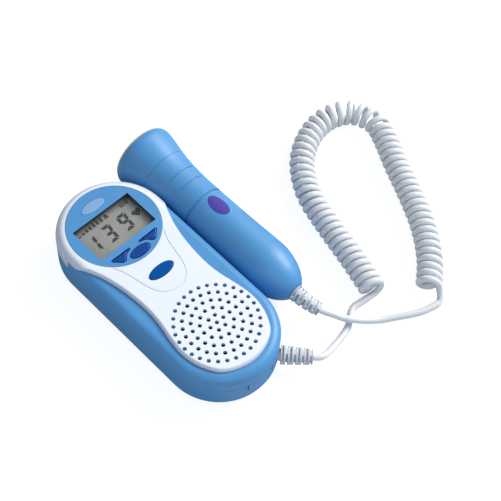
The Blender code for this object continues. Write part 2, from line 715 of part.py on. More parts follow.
def make_front_housing():
    front = block("front_housing", stadium(0.0), FRONT_LOW_Z, PLATE_Z, PARTS,
                  high_round=SHOULDER_ROUND)
    wide = CASE_RADIUS + OVERRUN
    far = CASE_HALF_LENGTH + OVERRUN
    cut(front, box("skirt_room_low", (-wide, SKIRT_Y - GAP, SKIRT_Z - GAP),
                   (wide, far, FACE_Z), CUTTERS))
    cut(front, box("skirt_room_high", (-wide, SKIRT_NOTCH_Y - GAP, SKIRT_NOTCH_Z - GAP),
                   (wide, far, FACE_Z), CUTTERS))
    deck = block("display_deck", stadium(DECK_INSET), FRONT_LOW_Z, PLATE_Z, CUTTERS,
                 high_round=FACE_LIP_ROUND)
    keep_inside(deck, box("display_deck_extent", (-wide, SKIRT_NOTCH_Y - 2 * GAP, FRONT_LOW_Z - OVERRUN),
                          (wide, far, FACE_Z), CUTTERS))
    join(front, deck)
    lower_room = stadium(CASE_WALL)
    upper_room = stadium(UPPER_WALL)
    cut(front, block("front_room_low", lower_room, SEAM_Z - OVERRUN, UPPER_WALL_Z, CUTTERS))
    cut(front, block("front_room_high", upper_room, SEAM_Z, CEILING_Z, CUTTERS))
    bosses = bmesh.new()
    for x, y in screw_places():
        add_cylinder(bosses, (x, y), BOSS_RADIUS, FRONT_LOW_Z, PLATE_Z - PLATE_THICK / 2, SMALL_STEPS)
    join(front, link_mesh("front_bosses", bosses, CUTTERS))
    bores = bmesh.new()
    for x, y in screw_places():
        add_cylinder(bores, (x, y), SCREW_BORE, SEAM_Z, SCREW_TOP_Z + GAP, SMALL_STEPS)
    cut(front, link_mesh("front_bores", bores, CUTTERS))
    lens_x = LENS_HALF_WIDTH + GAP
    lens_y = LENS_HALF_HEIGHT + GAP
    cut(front, box("lens_opening", (-lens_x, WINDOW_Y - lens_y, BOARD_TOP),
                   (lens_x, WINDOW_Y + lens_y, FACE_Z), CUTTERS))
    cut(front, box("keypad_opening", (-KEYPAD_HALF_WIDTH, KEYPAD_LOW_Y, BOARD_TOP),
                   (KEYPAD_HALF_WIDTH, KEYPAD_HIGH_Y, FACE_Z), CUTTERS))
    flange = FLANGE_WIDTH + GAP
    power_outline = oval(0.0, POWER_Y, POWER_HALF_WIDTH + flange, POWER_HALF_HEIGHT + flange)
    cut(front, block("power_opening", power_outline, BOARD_TOP, FACE_Z, CUTTERS))
    cut(front, cylinder("speaker_opening", (0.0, SPEAKER_Y), SPEAKER_HOLE_RADIUS, BOARD_TOP, FACE_Z,
                        CUTTERS, sides=DISC_STEPS))
    return paint(front, SKY_BLUE)


def grille_holes():
    bm = bmesh.new()
    for ring in range(GRILLE_RINGS + 1):
        count = max(1, GRILLE_FIRST_RING * ring)
        for i in range(count):
            angle = 2 * math.pi * i / count
            radius = GRILLE_PITCH * ring
            place = (radius * math.cos(angle), SPEAKER_Y + radius * math.sin(angle))
            add_cylinder(bm, place, GRILLE_HOLE_RADIUS, CEILING_Z, FACE_Z + OVERRUN, HOLE_SIDES)
    return link_mesh("grille_holes", bm, CUTTERS)


def make_face_cover():
    cover = block("face_cover", stadium(0.0), SKIRT_Z, FACE_Z, PARTS, high_round=FACE_ROUND)
    keep_inside(cover, block("keyhole", face_outline(), SKIRT_Z - OVERRUN, FACE_Z + TABLE_GAP, CUTTERS,
                             high_round=FACE_LIP_ROUND))
    wide = CASE_RADIUS + OVERRUN
    far = CASE_HALF_LENGTH + OVERRUN
    bed = block("cover_bed", stadium(-GAP), SKIRT_Z - 2 * OVERRUN, COVER_FLOOR_Z, CUTTERS,
                high_round=SHOULDER_ROUND + GAP)
    keep_inside(bed, box("cover_bed_extent", (-wide, -far, SKIRT_Z - 3 * OVERRUN),
                         (wide, SKIRT_NOTCH_Y, FACE_Z), CUTTERS))
    cut(cover, bed)
    cut(cover, box("cover_notch", (-wide, SKIRT_NOTCH_Y - OVERRUN, SKIRT_Z - OVERRUN),
                   (wide, SKIRT_Y, SKIRT_NOTCH_Z), CUTTERS))
    room = block("cover_room", stadium(SKIRT_THICK), SKIRT_Z - OVERRUN, COVER_FLOOR_Z, CUTTERS,
                 high_round=FACE_LIP_ROUND + GAP)
    keep_inside(room, box("cover_room_extent", (-wide, SKIRT_NOTCH_Y - GAP, SKIRT_Z - 2 * OVERRUN),
                          (wide, far, FACE_Z), CUTTERS))
    cut(cover, room)
    cut(cover, cylinder("bezel_hole", (0.0, BEZEL_Y), BEZEL_RADIUS + GAP, CEILING_Z, FACE_Z + OVERRUN,
                        CUTTERS, sides=DISC_STEPS))
    cut(cover, block("power_hole", oval(0.0, POWER_Y, POWER_HALF_WIDTH + GAP, POWER_HALF_HEIGHT + GAP),
                     CEILING_Z, FACE_Z + OVERRUN, CUTTERS))
    cut(cover, grille_holes())
    half = [(CASE_RADIUS * x, CASE_HALF_LENGTH * y) for y, x in GROOVE_SHARES]
    whole = [(-x, y) for x, y in half[:0:-1]] + half
    line = [(x, y, FACE_Z) for x, y in smooth_line(whole, CASE_RADIUS / 9)]
    cut(cover, tube("tongue_groove", line, [GROOVE_RADIUS] * len(line), CUTTERS, 0))
    return paint(cover, WHITE_FACE)


def make_bezel():
    profile = [(0.0, FACE_Z), (BEZEL_RADIUS, FACE_Z), (BEZEL_RADIUS, COVER_FLOOR_Z), (0.0, COVER_FLOOR_Z)]
    bezel = turned("display_bezel", profile, PARTS, steps=DISC_STEPS, origin=(0.0, BEZEL_Y, 0.0))
    low = CEILING_Z
    high = FACE_Z + OVERRUN
    cut(bezel, box("bezel_window", (-WINDOW_HALF_WIDTH, WINDOW_Y - WINDOW_HALF_HEIGHT, low),
                   (WINDOW_HALF_WIDTH, WINDOW_Y + WINDOW_HALF_HEIGHT, high), CUTTERS))
    cut(bezel, block("mode_hole", oval(0.0, MODE_Y, MODE_HALF_WIDTH + GAP, MODE_HALF_HEIGHT + GAP),
                     low, high, CUTTERS))
    for side in (-1, 1):
        cut(bezel, block("arrow_hole", outset(arrow_outline(side), GAP), low, high, CUTTERS))
    badge_floor = FACE_Z + BADGE_PROUD - BADGE_THICK - GAP
    cut(bezel, block("badge_recess", oval(0.0, BADGE_Y, BADGE_HALF_WIDTH + GAP, BADGE_HALF_HEIGHT + GAP),
                     badge_floor, high, CUTTERS))
    paint(bezel, SKY_BLUE)
    badge = block("bezel_badge", oval(0.0, BADGE_Y, BADGE_HALF_WIDTH, BADGE_HALF_HEIGHT),
                  badge_floor + GAP, FACE_Z + BADGE_PROUD, PARTS)
    return paint(badge, BADGE_BLUE)


def make_display():
    stack = (("display_lens", LENS_Z, LENS_THICK, LENS_HALF_HEIGHT, CLEAR_LENS),
             ("lcd_panel", PANEL_Z, PANEL_THICK, LENS_HALF_HEIGHT, LCD_GREY),
             ("lcd_backlight", BACKLIGHT_Z, BACKLIGHT_THICK, LENS_HALF_HEIGHT, WHITE_FACE))
    for name, z, thick, half_y, finish in stack:
        piece = box(name, (-LENS_HALF_WIDTH, WINDOW_Y - half_y, z),
                    (LENS_HALF_WIDTH, WINDOW_Y + half_y, z + thick), PARTS)
        paint(piece, finish)
    connector_y = WINDOW_Y + LENS_HALF_HEIGHT
    connector = box("lcd_connector", (-WINDOW_HALF_WIDTH, connector_y - CONNECTOR_DEPTH, BOARD_TOP + GAP),
                    (WINDOW_HALF_WIDTH, connector_y, CONNECTOR_Z + CONNECTOR_THICK), PARTS)
    return paint(connector, SOFT_RUBBER)


def make_circuit_board():
    board = box("circuit_board", (-BOARD_HALF_WIDTH, BOARD_LOW_Y, BOARD_Z),
                (BOARD_HALF_WIDTH, BOARD_HIGH_Y, BOARD_TOP), PARTS)
    return paint(board, BOARD_GREEN)


# Buttons and their switches

def arrow_outline(side):
    """The left arrow button's outline, mirrored for the right one."""
    points = [(ARROW_LENGTH * x - ARROW_X, ARROW_HEIGHT * y + ARROW_Y) for x, y in ARROW_SHARES]
    if side > 0:
        points = [(-x, y) for x, y in reversed(points)]
    return points


def make_button(name, x, y, outline, finish):
    """A cap with a flange below it that the cover holds, and a stem that meets
    the switch."""
    button = block(name + "_button", outline, FLANGE_Z + FLANGE_THICK / 2, FACE_Z + BUTTON_PROUD, PARTS,
                   high_round=BUTTON_EDGE, origin=(x, y, STEM_Z))
    join(button, block(name + "_flange", outset(outline, FLANGE_WIDTH), FLANGE_Z, PLATE_Z, CUTTERS))
    join(button, cylinder(name + "_stem", (x, y), STEM_RADIUS, STEM_Z, FLANGE_Z + FLANGE_THICK / 2,
                          CUTTERS))
    paint(button, finish)
    half = SWITCH_SIZE / 2
    switch = box(name + "_switch", (x - half, y - half, BOARD_TOP + GAP), (x + half, y + half, SWITCH_TOP),
                 PARTS)
    join(switch, cylinder(name + "_plunger", (x, y), PLUNGER_RADIUS, BOARD_TOP + 2 * GAP, PLUNGER_Z, CUTTERS))
    return paint(switch, DARK_PLASTIC)


def make_buttons():
    make_button("left_arrow", -ARROW_X, ARROW_Y, arrow_outline(-1), BUTTON_BLUE)
    make_button("mode", 0.0, MODE_Y, oval(0.0, MODE_Y, MODE_HALF_WIDTH, MODE_HALF_HEIGHT), BUTTON_BLUE)
    make_button("right_arrow", ARROW_X, ARROW_Y, arrow_outline(1), BUTTON_BLUE)
    make_button("power", 0.0, POWER_Y, oval(0.0, POWER_Y, POWER_HALF_WIDTH, POWER_HALF_HEIGHT), POWER_BLUE)


# Speaker

def make_speaker():
    gasket_top = CEILING_Z - GAP
    gasket_low = gasket_top - GASKET_THICK
    inner = SPEAKER_RADIUS - GASKET_WIDTH
    gasket = turned("speaker_gasket", [(inner, gasket_top), (SPEAKER_RADIUS, gasket_top),
                                       (SPEAKER_RADIUS, gasket_low), (inner, gasket_low)],
                    PARTS, ring=True, origin=(0.0, SPEAKER_Y, 0.0))
    paint(gasket, SOFT_RUBBER)
    rim_top = gasket_low - GAP
    rim_low = rim_top - SPEAKER_RIM_THICK
    seat = SPEAKER_RADIUS - SPEAKER_RIM_WIDTH
    base = rim_top - SPEAKER_DEPTH
    profile = [(seat, rim_top), (SPEAKER_RADIUS, rim_top), (SPEAKER_RADIUS, rim_low), (seat, rim_low),
               (BASKET_RADIUS, base), (COIL_RADIUS, base), (COIL_RADIUS, base + SPEAKER_METAL),
               (BASKET_RADIUS, base + SPEAKER_METAL), (seat - SPEAKER_METAL, rim_low + SPEAKER_METAL),
               (seat, rim_low + SPEAKER_METAL)]
    frame = turned("speaker_frame", profile, PARTS, ring=True, origin=(0.0, SPEAKER_Y, 0.0))
    paint(frame, DARK_PLASTIC)
    edge = seat - GAP
    neck = base + 2 * SPEAKER_METAL
    cone_profile = [(0.0, neck + 2 * CONE_THICK), (COIL_RADIUS, neck + CONE_THICK), (edge, rim_top - GAP),
                    (edge, rim_top - GAP - CONE_THICK), (COIL_RADIUS, neck), (0.0, neck + CONE_THICK)]
    cone = turned("speaker_cone", cone_profile, PARTS, origin=(0.0, SPEAKER_Y, 0.0))
    paint(cone, PAPER)
    magnet_top = base - GAP
    magnet = turned("speaker_magnet", [(0.0, magnet_top), (MAGNET_RADIUS, magnet_top),
                                       (MAGNET_RADIUS, magnet_top - MAGNET_THICK),
                                       (0.0, magnet_top - MAGNET_THICK)],
                    PARTS, origin=(0.0, SPEAKER_Y, 0.0))
    return paint(magnet, FERRITE)


# Probe, built along its own Z axis from its tail to its face

def probe_stations(low, high):
    """Places along the probe and its radius there, from high to low."""
    table = [(PROBE_TAIL + PROBE_LENGTH * place, PROBE_HEAD_RADIUS * radius)
             for place, radius in PROBE_SHARES]
    places = [place for place, radius in table]
    radii = [radius for place, radius in table]
    inside = [place for place in places if low + GAP < place < high - GAP]
    stations = [high] + inside[::-1] + [low]
    return [(float(np.interp(place, places, radii)), place) for place in stations]


def probe_tilt_and_height():
    """The probe lies on its head rim and on the swell of its grip."""
    stations = probe_stations(PROBE_TAIL, PROBE_FRONT)
    head_radius, head_place = max(stations)
    swell_radius, swell_place = max(s for s in stations if s[1] < GRIP_SEAM)
    tilt = math.atan((head_radius - swell_radius) / (head_place - swell_place))
    height = TABLE_GAP + max(r * math.cos(tilt) - place * math.sin(tilt) for r, place in stations)
    return tilt, height


def make_probe_axis():
    tilt, height = probe_tilt_and_height()
    axis = bpy.data.objects.new("probe_axis", None)
    axis.location = (PROBE_X, 0.0, height)
    axis.rotation_euler = (tilt - math.pi / 2, 0.0, PROBE_YAW)
    PARTS.objects.link(axis)
    bpy.context.view_layer.update()
    return axis


def on_probe(obj, axis):
    obj.parent = axis
    return obj


def make_probe_shells(axis):
    head_low = HEAD_SEAM + GAP / 2
    neck_high = HEAD_SEAM - GAP / 2
    seat_z = FACE_PLUG_END - 2 * GAP - SEAL_THICK
    outer = probe_stations(head_low, PROBE_FRONT)
    face_bore = FACE_PLUG_RADIUS + GAP
    shell_radius = outer[-1][0]
    inner_low = shell_radius - PROBE_WALL
    profile = [(face_bore, PROBE_FRONT)] + outer
    profile += [(inner_low, head_low), (HEAD_BORE, head_low + PROBE_WALL), (HEAD_BORE, seat_z),
                (face_bore, seat_z)]
    head = on_probe(turned("probe_head_shell", profile, PARTS, ring=True), axis)
    paint(head, SKY_BLUE)

    neck_low = GRIP_SEAM + GAP / 2
    outer = probe_stations(neck_low, neck_high)
    spigot = inner_low - GAP
    spigot_top = neck_high + SPIGOT_LENGTH
    bore = spigot - SPIGOT_WALL
    groove = outer[-1][0] - SEAM_GROOVE_DEPTH
    grip_radius = outer[-1][0]
    low_spigot = grip_radius - PROBE_WALL - GAP
    low_bore = low_spigot - SPIGOT_WALL
    profile = [(bore, spigot_top), (spigot, spigot_top), (spigot, neck_high)] + outer[:-1]
    profile += [(grip_radius, neck_low + 2 * SEAM_GROOVE_WIDTH), (groove, neck_low + SEAM_GROOVE_WIDTH),
                (groove, neck_low), (low_spigot, neck_low), (low_spigot, neck_low - GRIP_SPIGOT_LENGTH),
                (low_bore, neck_low - GRIP_SPIGOT_LENGTH), (low_bore, neck_low),
                (grip_radius - PROBE_WALL, neck_low + NECK_RELIEF)]
    profile += [(radius - PROBE_WALL, place) for radius, place in outer[-2:2:-1]]
    profile += [(bore, neck_high - PROBE_WALL)]
    neck = on_probe(turned("probe_neck_shell", profile, PARTS, ring=True), axis)
    for number, place in enumerate(THUMB_RING_PLACES, 1):
        cut(neck, make_thumb_ring("thumb_ring_%d" % number, place, axis))
    paint(neck, SKY_BLUE)

    grip_high = GRIP_SEAM - GAP / 2
    outer = probe_stations(PROBE_TAIL, grip_high)
    tail_inner = PROBE_TAIL + TAIL_WALL
    hole = RELIEF_NECK + GAP
    inner = probe_stations(tail_inner, grip_high)
    inner = inner[:-1:2] + inner[-1:]
    profile = outer + [(hole, PROBE_TAIL), (hole, tail_inner)]
    profile += [(radius - PROBE_WALL, place) for radius, place in inner[::-1]]
    grip = on_probe(turned("probe_grip", profile, PARTS, ring=True), axis)
    recess, badge = make_probe_badge(axis)
    cut(grip, recess)
    paint(grip, SKY_BLUE)
    return badge


def make_thumb_ring(name, place, axis):
    """A short arc of groove across the top of the neck."""
    radius = probe_stations(GRIP_SEAM, HEAD_SEAM)
    here = float(np.interp(place, [p for r, p in radius[::-1]], [r for r, p in radius[::-1]]))
    half = THUMB_RING_WIDTH / 2
    floor = here - THUMB_RING_DEPTH
    top = here + OVERRUN
    ring = on_probe(turned(name, [(floor, place + half), (top, place + half), (top, place - half),
                                  (floor, place - half)], CUTTERS, ring=True), axis)
    reach = here * math.cos(THUMB_RING_HALF_SPAN)
    span = box(name + "_span", (reach, -2 * here, place - OVERRUN), (2 * here, 2 * here, place + OVERRUN),
               CUTTERS)
    span.rotation_euler.z = -THUMB_RING_ANGLE
    on_probe(span, axis)
    return keep_inside(ring, span)


def badge_prism(name, margin, axis):
    """An upright oval solid that crosses the top of the grip."""
    prism = block(name, oval(0.0, 0.0, PROBE_BADGE_HALF_WIDTH + margin, PROBE_BADGE_HALF_LENGTH + margin),
                  PROBE_HEAD_RADIUS / 2, PROBE_HEAD_RADIUS, CUTTERS)
    prism.rotation_euler = Euler((math.pi / 2, 0.0, math.pi / 2 - PROBE_BADGE_ANGLE), "XYZ")
    prism.location.z = PROBE_BADGE_PLACE
    return on_probe(prism, axis)


def make_probe_badge(axis):
    """The badge follows the grip's round, in a recess that follows it too."""
    radius = probe_stations(PROBE_TAIL, PROBE_BADGE_PLACE)[0][0]
    reach = 2 * PROBE_BADGE_HALF_LENGTH
    low = PROBE_BADGE_PLACE - reach
    high = PROBE_BADGE_PLACE + reach
    floor = radius - PROBE_BADGE_THICK
    recess = badge_prism("probe_badge_recess", GAP, axis)
    core = on_probe(turned("probe_badge_core", [(0.0, high), (floor - GAP, high), (floor - GAP, low),
                                                (0.0, low)], CUTTERS, steps=DISC_STEPS), axis)
    cut(recess, core)
    skin = [(floor, high), (radius + BADGE_PROUD, high), (radius + BADGE_PROUD, low), (floor, low)]
    badge = turned("probe_badge", skin, PARTS, steps=DISC_STEPS, ring=True)
    on_probe(badge, axis)
    keep_inside(badge, badge_prism("probe_badge_outline", 0.0, axis))
    return recess, paint(badge, BADGE_PURPLE)


def make_probe_inside(axis):
    cap_low = PROBE_FRONT + GAP
    cap_edge = cap_low + FACE_CAP_THICK / 2
    cap_top = cap_low + FACE_CAP_THICK
    profile = [(0.0, cap_top), (CRYSTAL_RADIUS, cap_top), (FACE_PLUG_RADIUS, cap_top - FACE_CAP_CROWN / 3),
               (FACE_CAP_RADIUS - FACE_CAP_CROWN / 3, cap_edge), (FACE_CAP_RADIUS, cap_low),
               (FACE_PLUG_RADIUS, cap_low), (FACE_PLUG_RADIUS, FACE_PLUG_END), (0.0, FACE_PLUG_END)]
    face = on_probe(turned("transducer_face", profile, PARTS, steps=TURN_STEPS), axis)
    paint(face, FACE_CREAM)
    seal_top = FACE_PLUG_END - GAP
    seal_low = seal_top - SEAL_THICK
    seal_inner = HEAD_BORE + GAP
    seal = turned("head_seal", [(seal_inner, seal_top), (FACE_PLUG_RADIUS, seal_top),
                                (FACE_PLUG_RADIUS, seal_low), (seal_inner, seal_low)], PARTS, ring=True)
    paint(on_probe(seal, axis), SOFT_RUBBER)
    for name, side in (("transmit_crystal", 1), ("receive_crystal", -1)):
        angles = [math.pi * i / ARC_STEPS for i in range(ARC_STEPS + 1)]
        outline = [(CRYSTAL_RADIUS * math.cos(a), side * (CRYSTAL_RADIUS * math.sin(a) + CRYSTAL_SPLIT / 2))
                   for a in angles]
        plate = block(name, outline, CRYSTAL_END, CRYSTAL_END + CRYSTAL_THICK, PARTS)
        paint(on_probe(plate, axis), CERAMIC)
    backing_top = CRYSTAL_END - GAP
    backing = turned("backing_block", [(0.0, backing_top), (BACKING_RADIUS, backing_top),
                                       (BACKING_RADIUS, BACKING_END), (0.0, BACKING_END)], PARTS)
    paint(on_probe(backing, axis), EPOXY)
    half = PROBE_BOARD_THICK / 2
    board = box("probe_board", (-PROBE_BOARD_HALF_WIDTH, -half, PROBE_BOARD_START),
                (PROBE_BOARD_HALF_WIDTH, half, BACKING_END - GAP), PARTS)
    return paint(on_probe(board, axis), BOARD_GREEN)


# Cords and their strain reliefs

def relief_profile(length, start, root, tip, flange_low, flange_high, flange):
    """Places along a strain relief and its radius there: an inner flange, a neck
    through the wall, then ribs that grow smaller."""
    stations = [(flange_low, flange), (flange_high, flange), (flange_high + TABLE_GAP, RELIEF_NECK),
                (start - TABLE_GAP, RELIEF_NECK)]
    pitch = (length - start) / RELIEF_RIBS
    for i in range(RELIEF_RIBS):
        low = start + i * pitch
        high = low + pitch * RELIEF_RIB_SHARE
        crest = root + (tip - root) * i / (RELIEF_RIBS - 1)
        stations += [(low, crest), (high, crest)]
        if i < RELIEF_RIBS - 1:
            stations.append(((high + low + pitch) / 2, crest - RELIEF_GROOVE))
    return stations


def unit_relief_line():
    """Where the lead leaves the case's wall, and its heading there."""
    middle = CASE_RADIUS - CASE_WALL / 2
    root = Vector((middle * math.cos(UNIT_RELIEF_AZIMUTH),
                   middle * math.sin(UNIT_RELIEF_AZIMUTH) - ARC_Y, UNIT_RELIEF_Z))
    heading = Vector((math.cos(UNIT_RELIEF_HEADING), math.sin(UNIT_RELIEF_HEADING), 0.0))
    return root, heading


def make_unit_relief():
    root, heading = unit_relief_line()
    stations = relief_profile(UNIT_RELIEF_LENGTH, UNIT_RELIEF_START, UNIT_RELIEF_ROOT, UNIT_RELIEF_TIP,
                              UNIT_RELIEF_FLANGE_PLACE, UNIT_RELIEF_FLANGE_PLACE + UNIT_RELIEF_FLANGE_THICK,
                              UNIT_RELIEF_FLANGE)
    points = [root + heading * place for place, radius in stations]
    relief = tube("unit_strain_relief", points, [radius for place, radius in stations], PARTS, 2)
    return paint(relief, RELIEF_WHITE)


def make_probe_relief(axis):
    """The relief leaves the tail on the probe's axis and bends towards its lead."""
    frame = axis.matrix_world
    root = frame @ Vector((0.0, 0.0, PROBE_TAIL))
    heading = -(frame.to_3x3() @ Vector((0.0, 0.0, 1.0)))
    tip = Vector(PROBE_RELIEF_TIP_POINT)
    length = PROBE_RELIEF_LENGTH
    flange_low = -TAIL_WALL - GAP - PROBE_RELIEF_FLANGE_THICK
    stations = relief_profile(length, GAP, PROBE_RELIEF_ROOT, PROBE_RELIEF_TIP,
                              flange_low, flange_low + PROBE_RELIEF_FLANGE_THICK, PROBE_RELIEF_FLANGE)
    points = []
    for place, radius in stations:
        share = max(0.0, place / length)
        straight = root + heading * place
        points.append(straight + (tip - root - heading * length) * share**2)
    relief = tube("probe_strain_relief", points, [radius for place, radius in stations], PARTS, 2)
    return paint(relief, RELIEF_WHITE)


def make_lead(name, route):
    points = smooth_line(route, LEAD_STEP)
    lead = tube(name, points, [CORD_RADIUS] * len(points), PARTS, 2)
    return paint(lead, CORD_WHITE)


def curl_points():
    """The curls wind left-handed round their route. Where the route bends they
    lie further apart, so that the inner sides keep one gap."""
    centre = smooth_line(CURL_ROUTE, CURL_RADIUS / 20)
    along = np.gradient(centre, axis=0)
    along /= np.linalg.norm(along, axis=1)[:, None]
    step = np.linalg.norm(np.diff(centre, axis=0), axis=1)
    turn = np.linalg.norm(np.diff(along, axis=0), axis=1) / step
    window = np.ones(21) / 21
    turn = np.convolve(np.pad(turn, 10, mode="edge"), window, mode="valid")
    weight = step * (1 - CURL_RADIUS * turn)
    phase = np.concatenate(([0.0], np.cumsum(weight)))
    phase *= 2 * math.pi * CURL_COUNT / phase[-1]
    count = round(CURL_COUNT * CURL_POINTS)
    wanted = np.linspace(0.0, phase[-1], count + 1)
    x = np.interp(wanted, phase, centre[:, 0])
    y = np.interp(wanted, phase, centre[:, 1])
    tangent_x = np.interp(wanted, phase, along[:, 0])
    tangent_y = np.interp(wanted, phase, along[:, 1])
    height = CURL_RADIUS + CORD_RADIUS + TABLE_GAP
    swing = CURL_RADIUS * np.sin(wanted)
    height = height - CURL_RADIUS * np.cos(wanted)
    return np.column_stack((x + tangent_y * swing, y - tangent_x * swing, height))


def least_gap(points):
    """The smallest gap that the curly cord keeps to itself, from its points."""
    apart = np.linalg.norm(points[:, None, :] - points[None, :, :], axis=2)
    index = np.arange(len(points))
    near = np.abs(index[:, None] - index[None, :]) < CURL_POINTS / 2 + 1
    return float(apart[~near].min()) - 2 * CORD_RADIUS


def make_curly_cord():
    points = np.vstack((np.array(CURL_START_ROUTE), curl_points(), np.array(CURL_END_ROUTE)))
    print("curly cord: least gap to itself %.2f mm" % (least_gap(points) * 1000))
    cord = tube("curly_cord", points, [CORD_RADIUS] * len(points), PARTS, 1)
    return paint(cord, CORD_WHITE)


def main():
    global PARTS, CUTTERS
    clear_scene()
    PARTS = new_collection("fetal_doppler_monitor")
    CUTTERS = new_collection("cutters")
    make_rear_housing()
    make_battery_door()
    make_batteries()
    make_screws()
    make_front_housing()
    make_face_cover()
    make_bezel()
    make_display()
    make_circuit_board()
    make_buttons()
    make_speaker()
    axis = make_probe_axis()
    make_probe_shells(axis)
    make_probe_inside(axis)
    make_probe_relief(axis)
    make_unit_relief()
    make_lead("unit_lead", UNIT_LEAD_ROUTE)
    make_curly_cord()
    make_lead("probe_lead", PROBE_LEAD_ROUTE)


main()
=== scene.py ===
# %% [markdown]
# # A fetal doppler monitor and its probe
#
# The unit is a flat shell of light blue plastic with a white face cover, a
# display, four buttons and a speaker. A curly cord ties it to a waisted probe.
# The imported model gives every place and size. This script makes the pieces that
# show again with finer curves, gives each one its finish, and lights them.

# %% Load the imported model
import math

import bmesh
import bpy
import numpy as np
from mathutils import Euler, Matrix, Vector


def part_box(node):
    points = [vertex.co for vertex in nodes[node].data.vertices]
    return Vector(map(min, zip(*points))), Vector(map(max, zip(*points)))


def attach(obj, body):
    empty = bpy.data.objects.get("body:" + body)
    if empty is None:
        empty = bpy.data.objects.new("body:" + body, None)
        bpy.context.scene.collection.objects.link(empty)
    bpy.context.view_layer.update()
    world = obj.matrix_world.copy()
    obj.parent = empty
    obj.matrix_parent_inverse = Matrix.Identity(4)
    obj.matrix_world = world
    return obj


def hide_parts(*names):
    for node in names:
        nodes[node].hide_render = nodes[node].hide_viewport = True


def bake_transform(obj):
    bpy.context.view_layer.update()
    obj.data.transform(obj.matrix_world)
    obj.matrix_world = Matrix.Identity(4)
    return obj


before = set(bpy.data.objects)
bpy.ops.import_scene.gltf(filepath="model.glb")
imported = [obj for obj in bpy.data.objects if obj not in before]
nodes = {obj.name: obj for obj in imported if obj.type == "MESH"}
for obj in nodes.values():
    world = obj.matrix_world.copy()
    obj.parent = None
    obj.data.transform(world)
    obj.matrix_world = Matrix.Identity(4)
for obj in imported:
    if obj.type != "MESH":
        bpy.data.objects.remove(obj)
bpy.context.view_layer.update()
print("packed nodes:", len(nodes))

# %% [markdown]
# ## Camera
#
# The view was found by matching the unit's outline and the rings of its grille
# to the photograph. The lens is long, so the picture is nearly free of
# perspective, as in most catalogue pictures.

# %% Camera
EYE = Vector((-0.20781, -0.23473, 0.55348))
PICTURE_RIGHT = Vector((0.71498533, -0.69752301, 0.04751453))
PICTURE_UP = Vector((0.57494524, 0.62528457, 0.52769041))
LENS_MM = 92.107
SENSOR_MM = 36.0

camera_data = bpy.data.cameras.new("camera")
camera_data.lens = LENS_MM
camera_data.sensor_width = SENSOR_MM
camera = bpy.data.objects.new("camera", camera_data)
turn = Matrix((PICTURE_RIGHT, PICTURE_UP, PICTURE_RIGHT.cross(PICTURE_UP))).transposed()
camera.matrix_world = Matrix.Translation(EYE) @ turn.to_4x4()
bpy.context.scene.collection.objects.link(camera)
bpy.context.scene.camera = camera

# %% [markdown]
# ## Finishes
#
# Moulded plastic is never one flat colour: the mould leaves a fine grain, and
# the pigment drifts a little across the part. One noise texture gives the grain
# and the roughness, a second and much larger one gives the drift. Both read
# object coordinates, so the pattern stays on the piece when the piece moves.


# %% Colours and helpers for node trees
def shade(red, green, blue):
    """A colour as read off a screen, from 0 to 255, made linear."""
    values = [value / 255 for value in (red, green, blue)]
    linear = [v / 12.92 if v <= 0.04045 else ((v + 0.055) / 1.055) ** 2.4 for v in values]
    return (*linear, 1.0)


def tint(colour, factor):
    return (*[min(1.0, value * factor) for value in colour[:3]], 1.0)


def wire(tree, node, inputs):
    """Set a node's inputs, or join them to other nodes."""
    for key, value in inputs.items():
        if isinstance(value, bpy.types.NodeSocket):
            tree.links.new(value, node.inputs[key])
        else:
            node.inputs[key].default_value = value


def add(tree, kind, inputs=None, output=0, **settings):
    """Make a node, wire it, and give back one of its outputs."""
    node = tree.nodes.new(kind)
    for key, value in settings.items():
        setattr(node, key, value)
    wire(tree, node, inputs or {})
    return node.outputs[output]


def math_node(tree, operation, first, second=0.0):
    return add(tree, "ShaderNodeMath", {0: first, 1: second}, operation=operation)


# %% A moulded finish
WHITE = (1.0, 1.0, 1.0, 1.0)
# Most of a noise lies between these two values
NOISE_LOW = 0.3
NOISE_HIGH = 0.7
DRIFT_SCALE = 45.0
ROUGHNESS_DRIFT = 0.05
GRAIN_STRENGTH = 0.25
COAT_ROUGHNESS = 0.12
# Painted shade on rims: the colour is multiplied towards the rim tint as the height of its normal falls from
# flat to steep
PAINTED_SHADE_STEEP = 0.84
PAINTED_SHADE_FLAT = 0.995


def new_finish(name):
    material = bpy.data.materials.new(name)
    material.use_nodes = True
    return material, material.node_tree, material.node_tree.nodes["Principled BSDF"]


def object_place(tree):
    return add(tree, "ShaderNodeTexCoord", output="Object")


def noise(tree, scale, detail=2.0, stretch=(1.0, 1.0, 1.0)):
    place = add(tree, "ShaderNodeMapping", {"Vector": object_place(tree), "Scale": stretch})
    return add(tree, "ShaderNodeTexNoise", {"Vector": place, "Scale": scale, "Detail": detail},
               output="Fac")


def ramp(tree, value, low_colour, high_colour, low=0.35, high=0.65):
    colours = add(tree, "ShaderNodeValToRGB", {"Fac": value}, output="Color")
    stops = colours.node.color_ramp.elements
    for i, (place, colour) in enumerate(((low, low_colour), (high, high_colour))):
        stops[i].position = place
        stops[i].color = colour
    return colours


def spread(tree, value, low, high):
    return add(tree, "ShaderNodeMapRange", {"Value": value, "From Min": NOISE_LOW, "From Max": NOISE_HIGH,
                                            "To Min": low, "To Max": high})


def bump(tree, height, strength, depth):
    return add(tree, "ShaderNodeBump", {"Height": height, "Strength": strength, "Distance": depth},
               output="Normal")


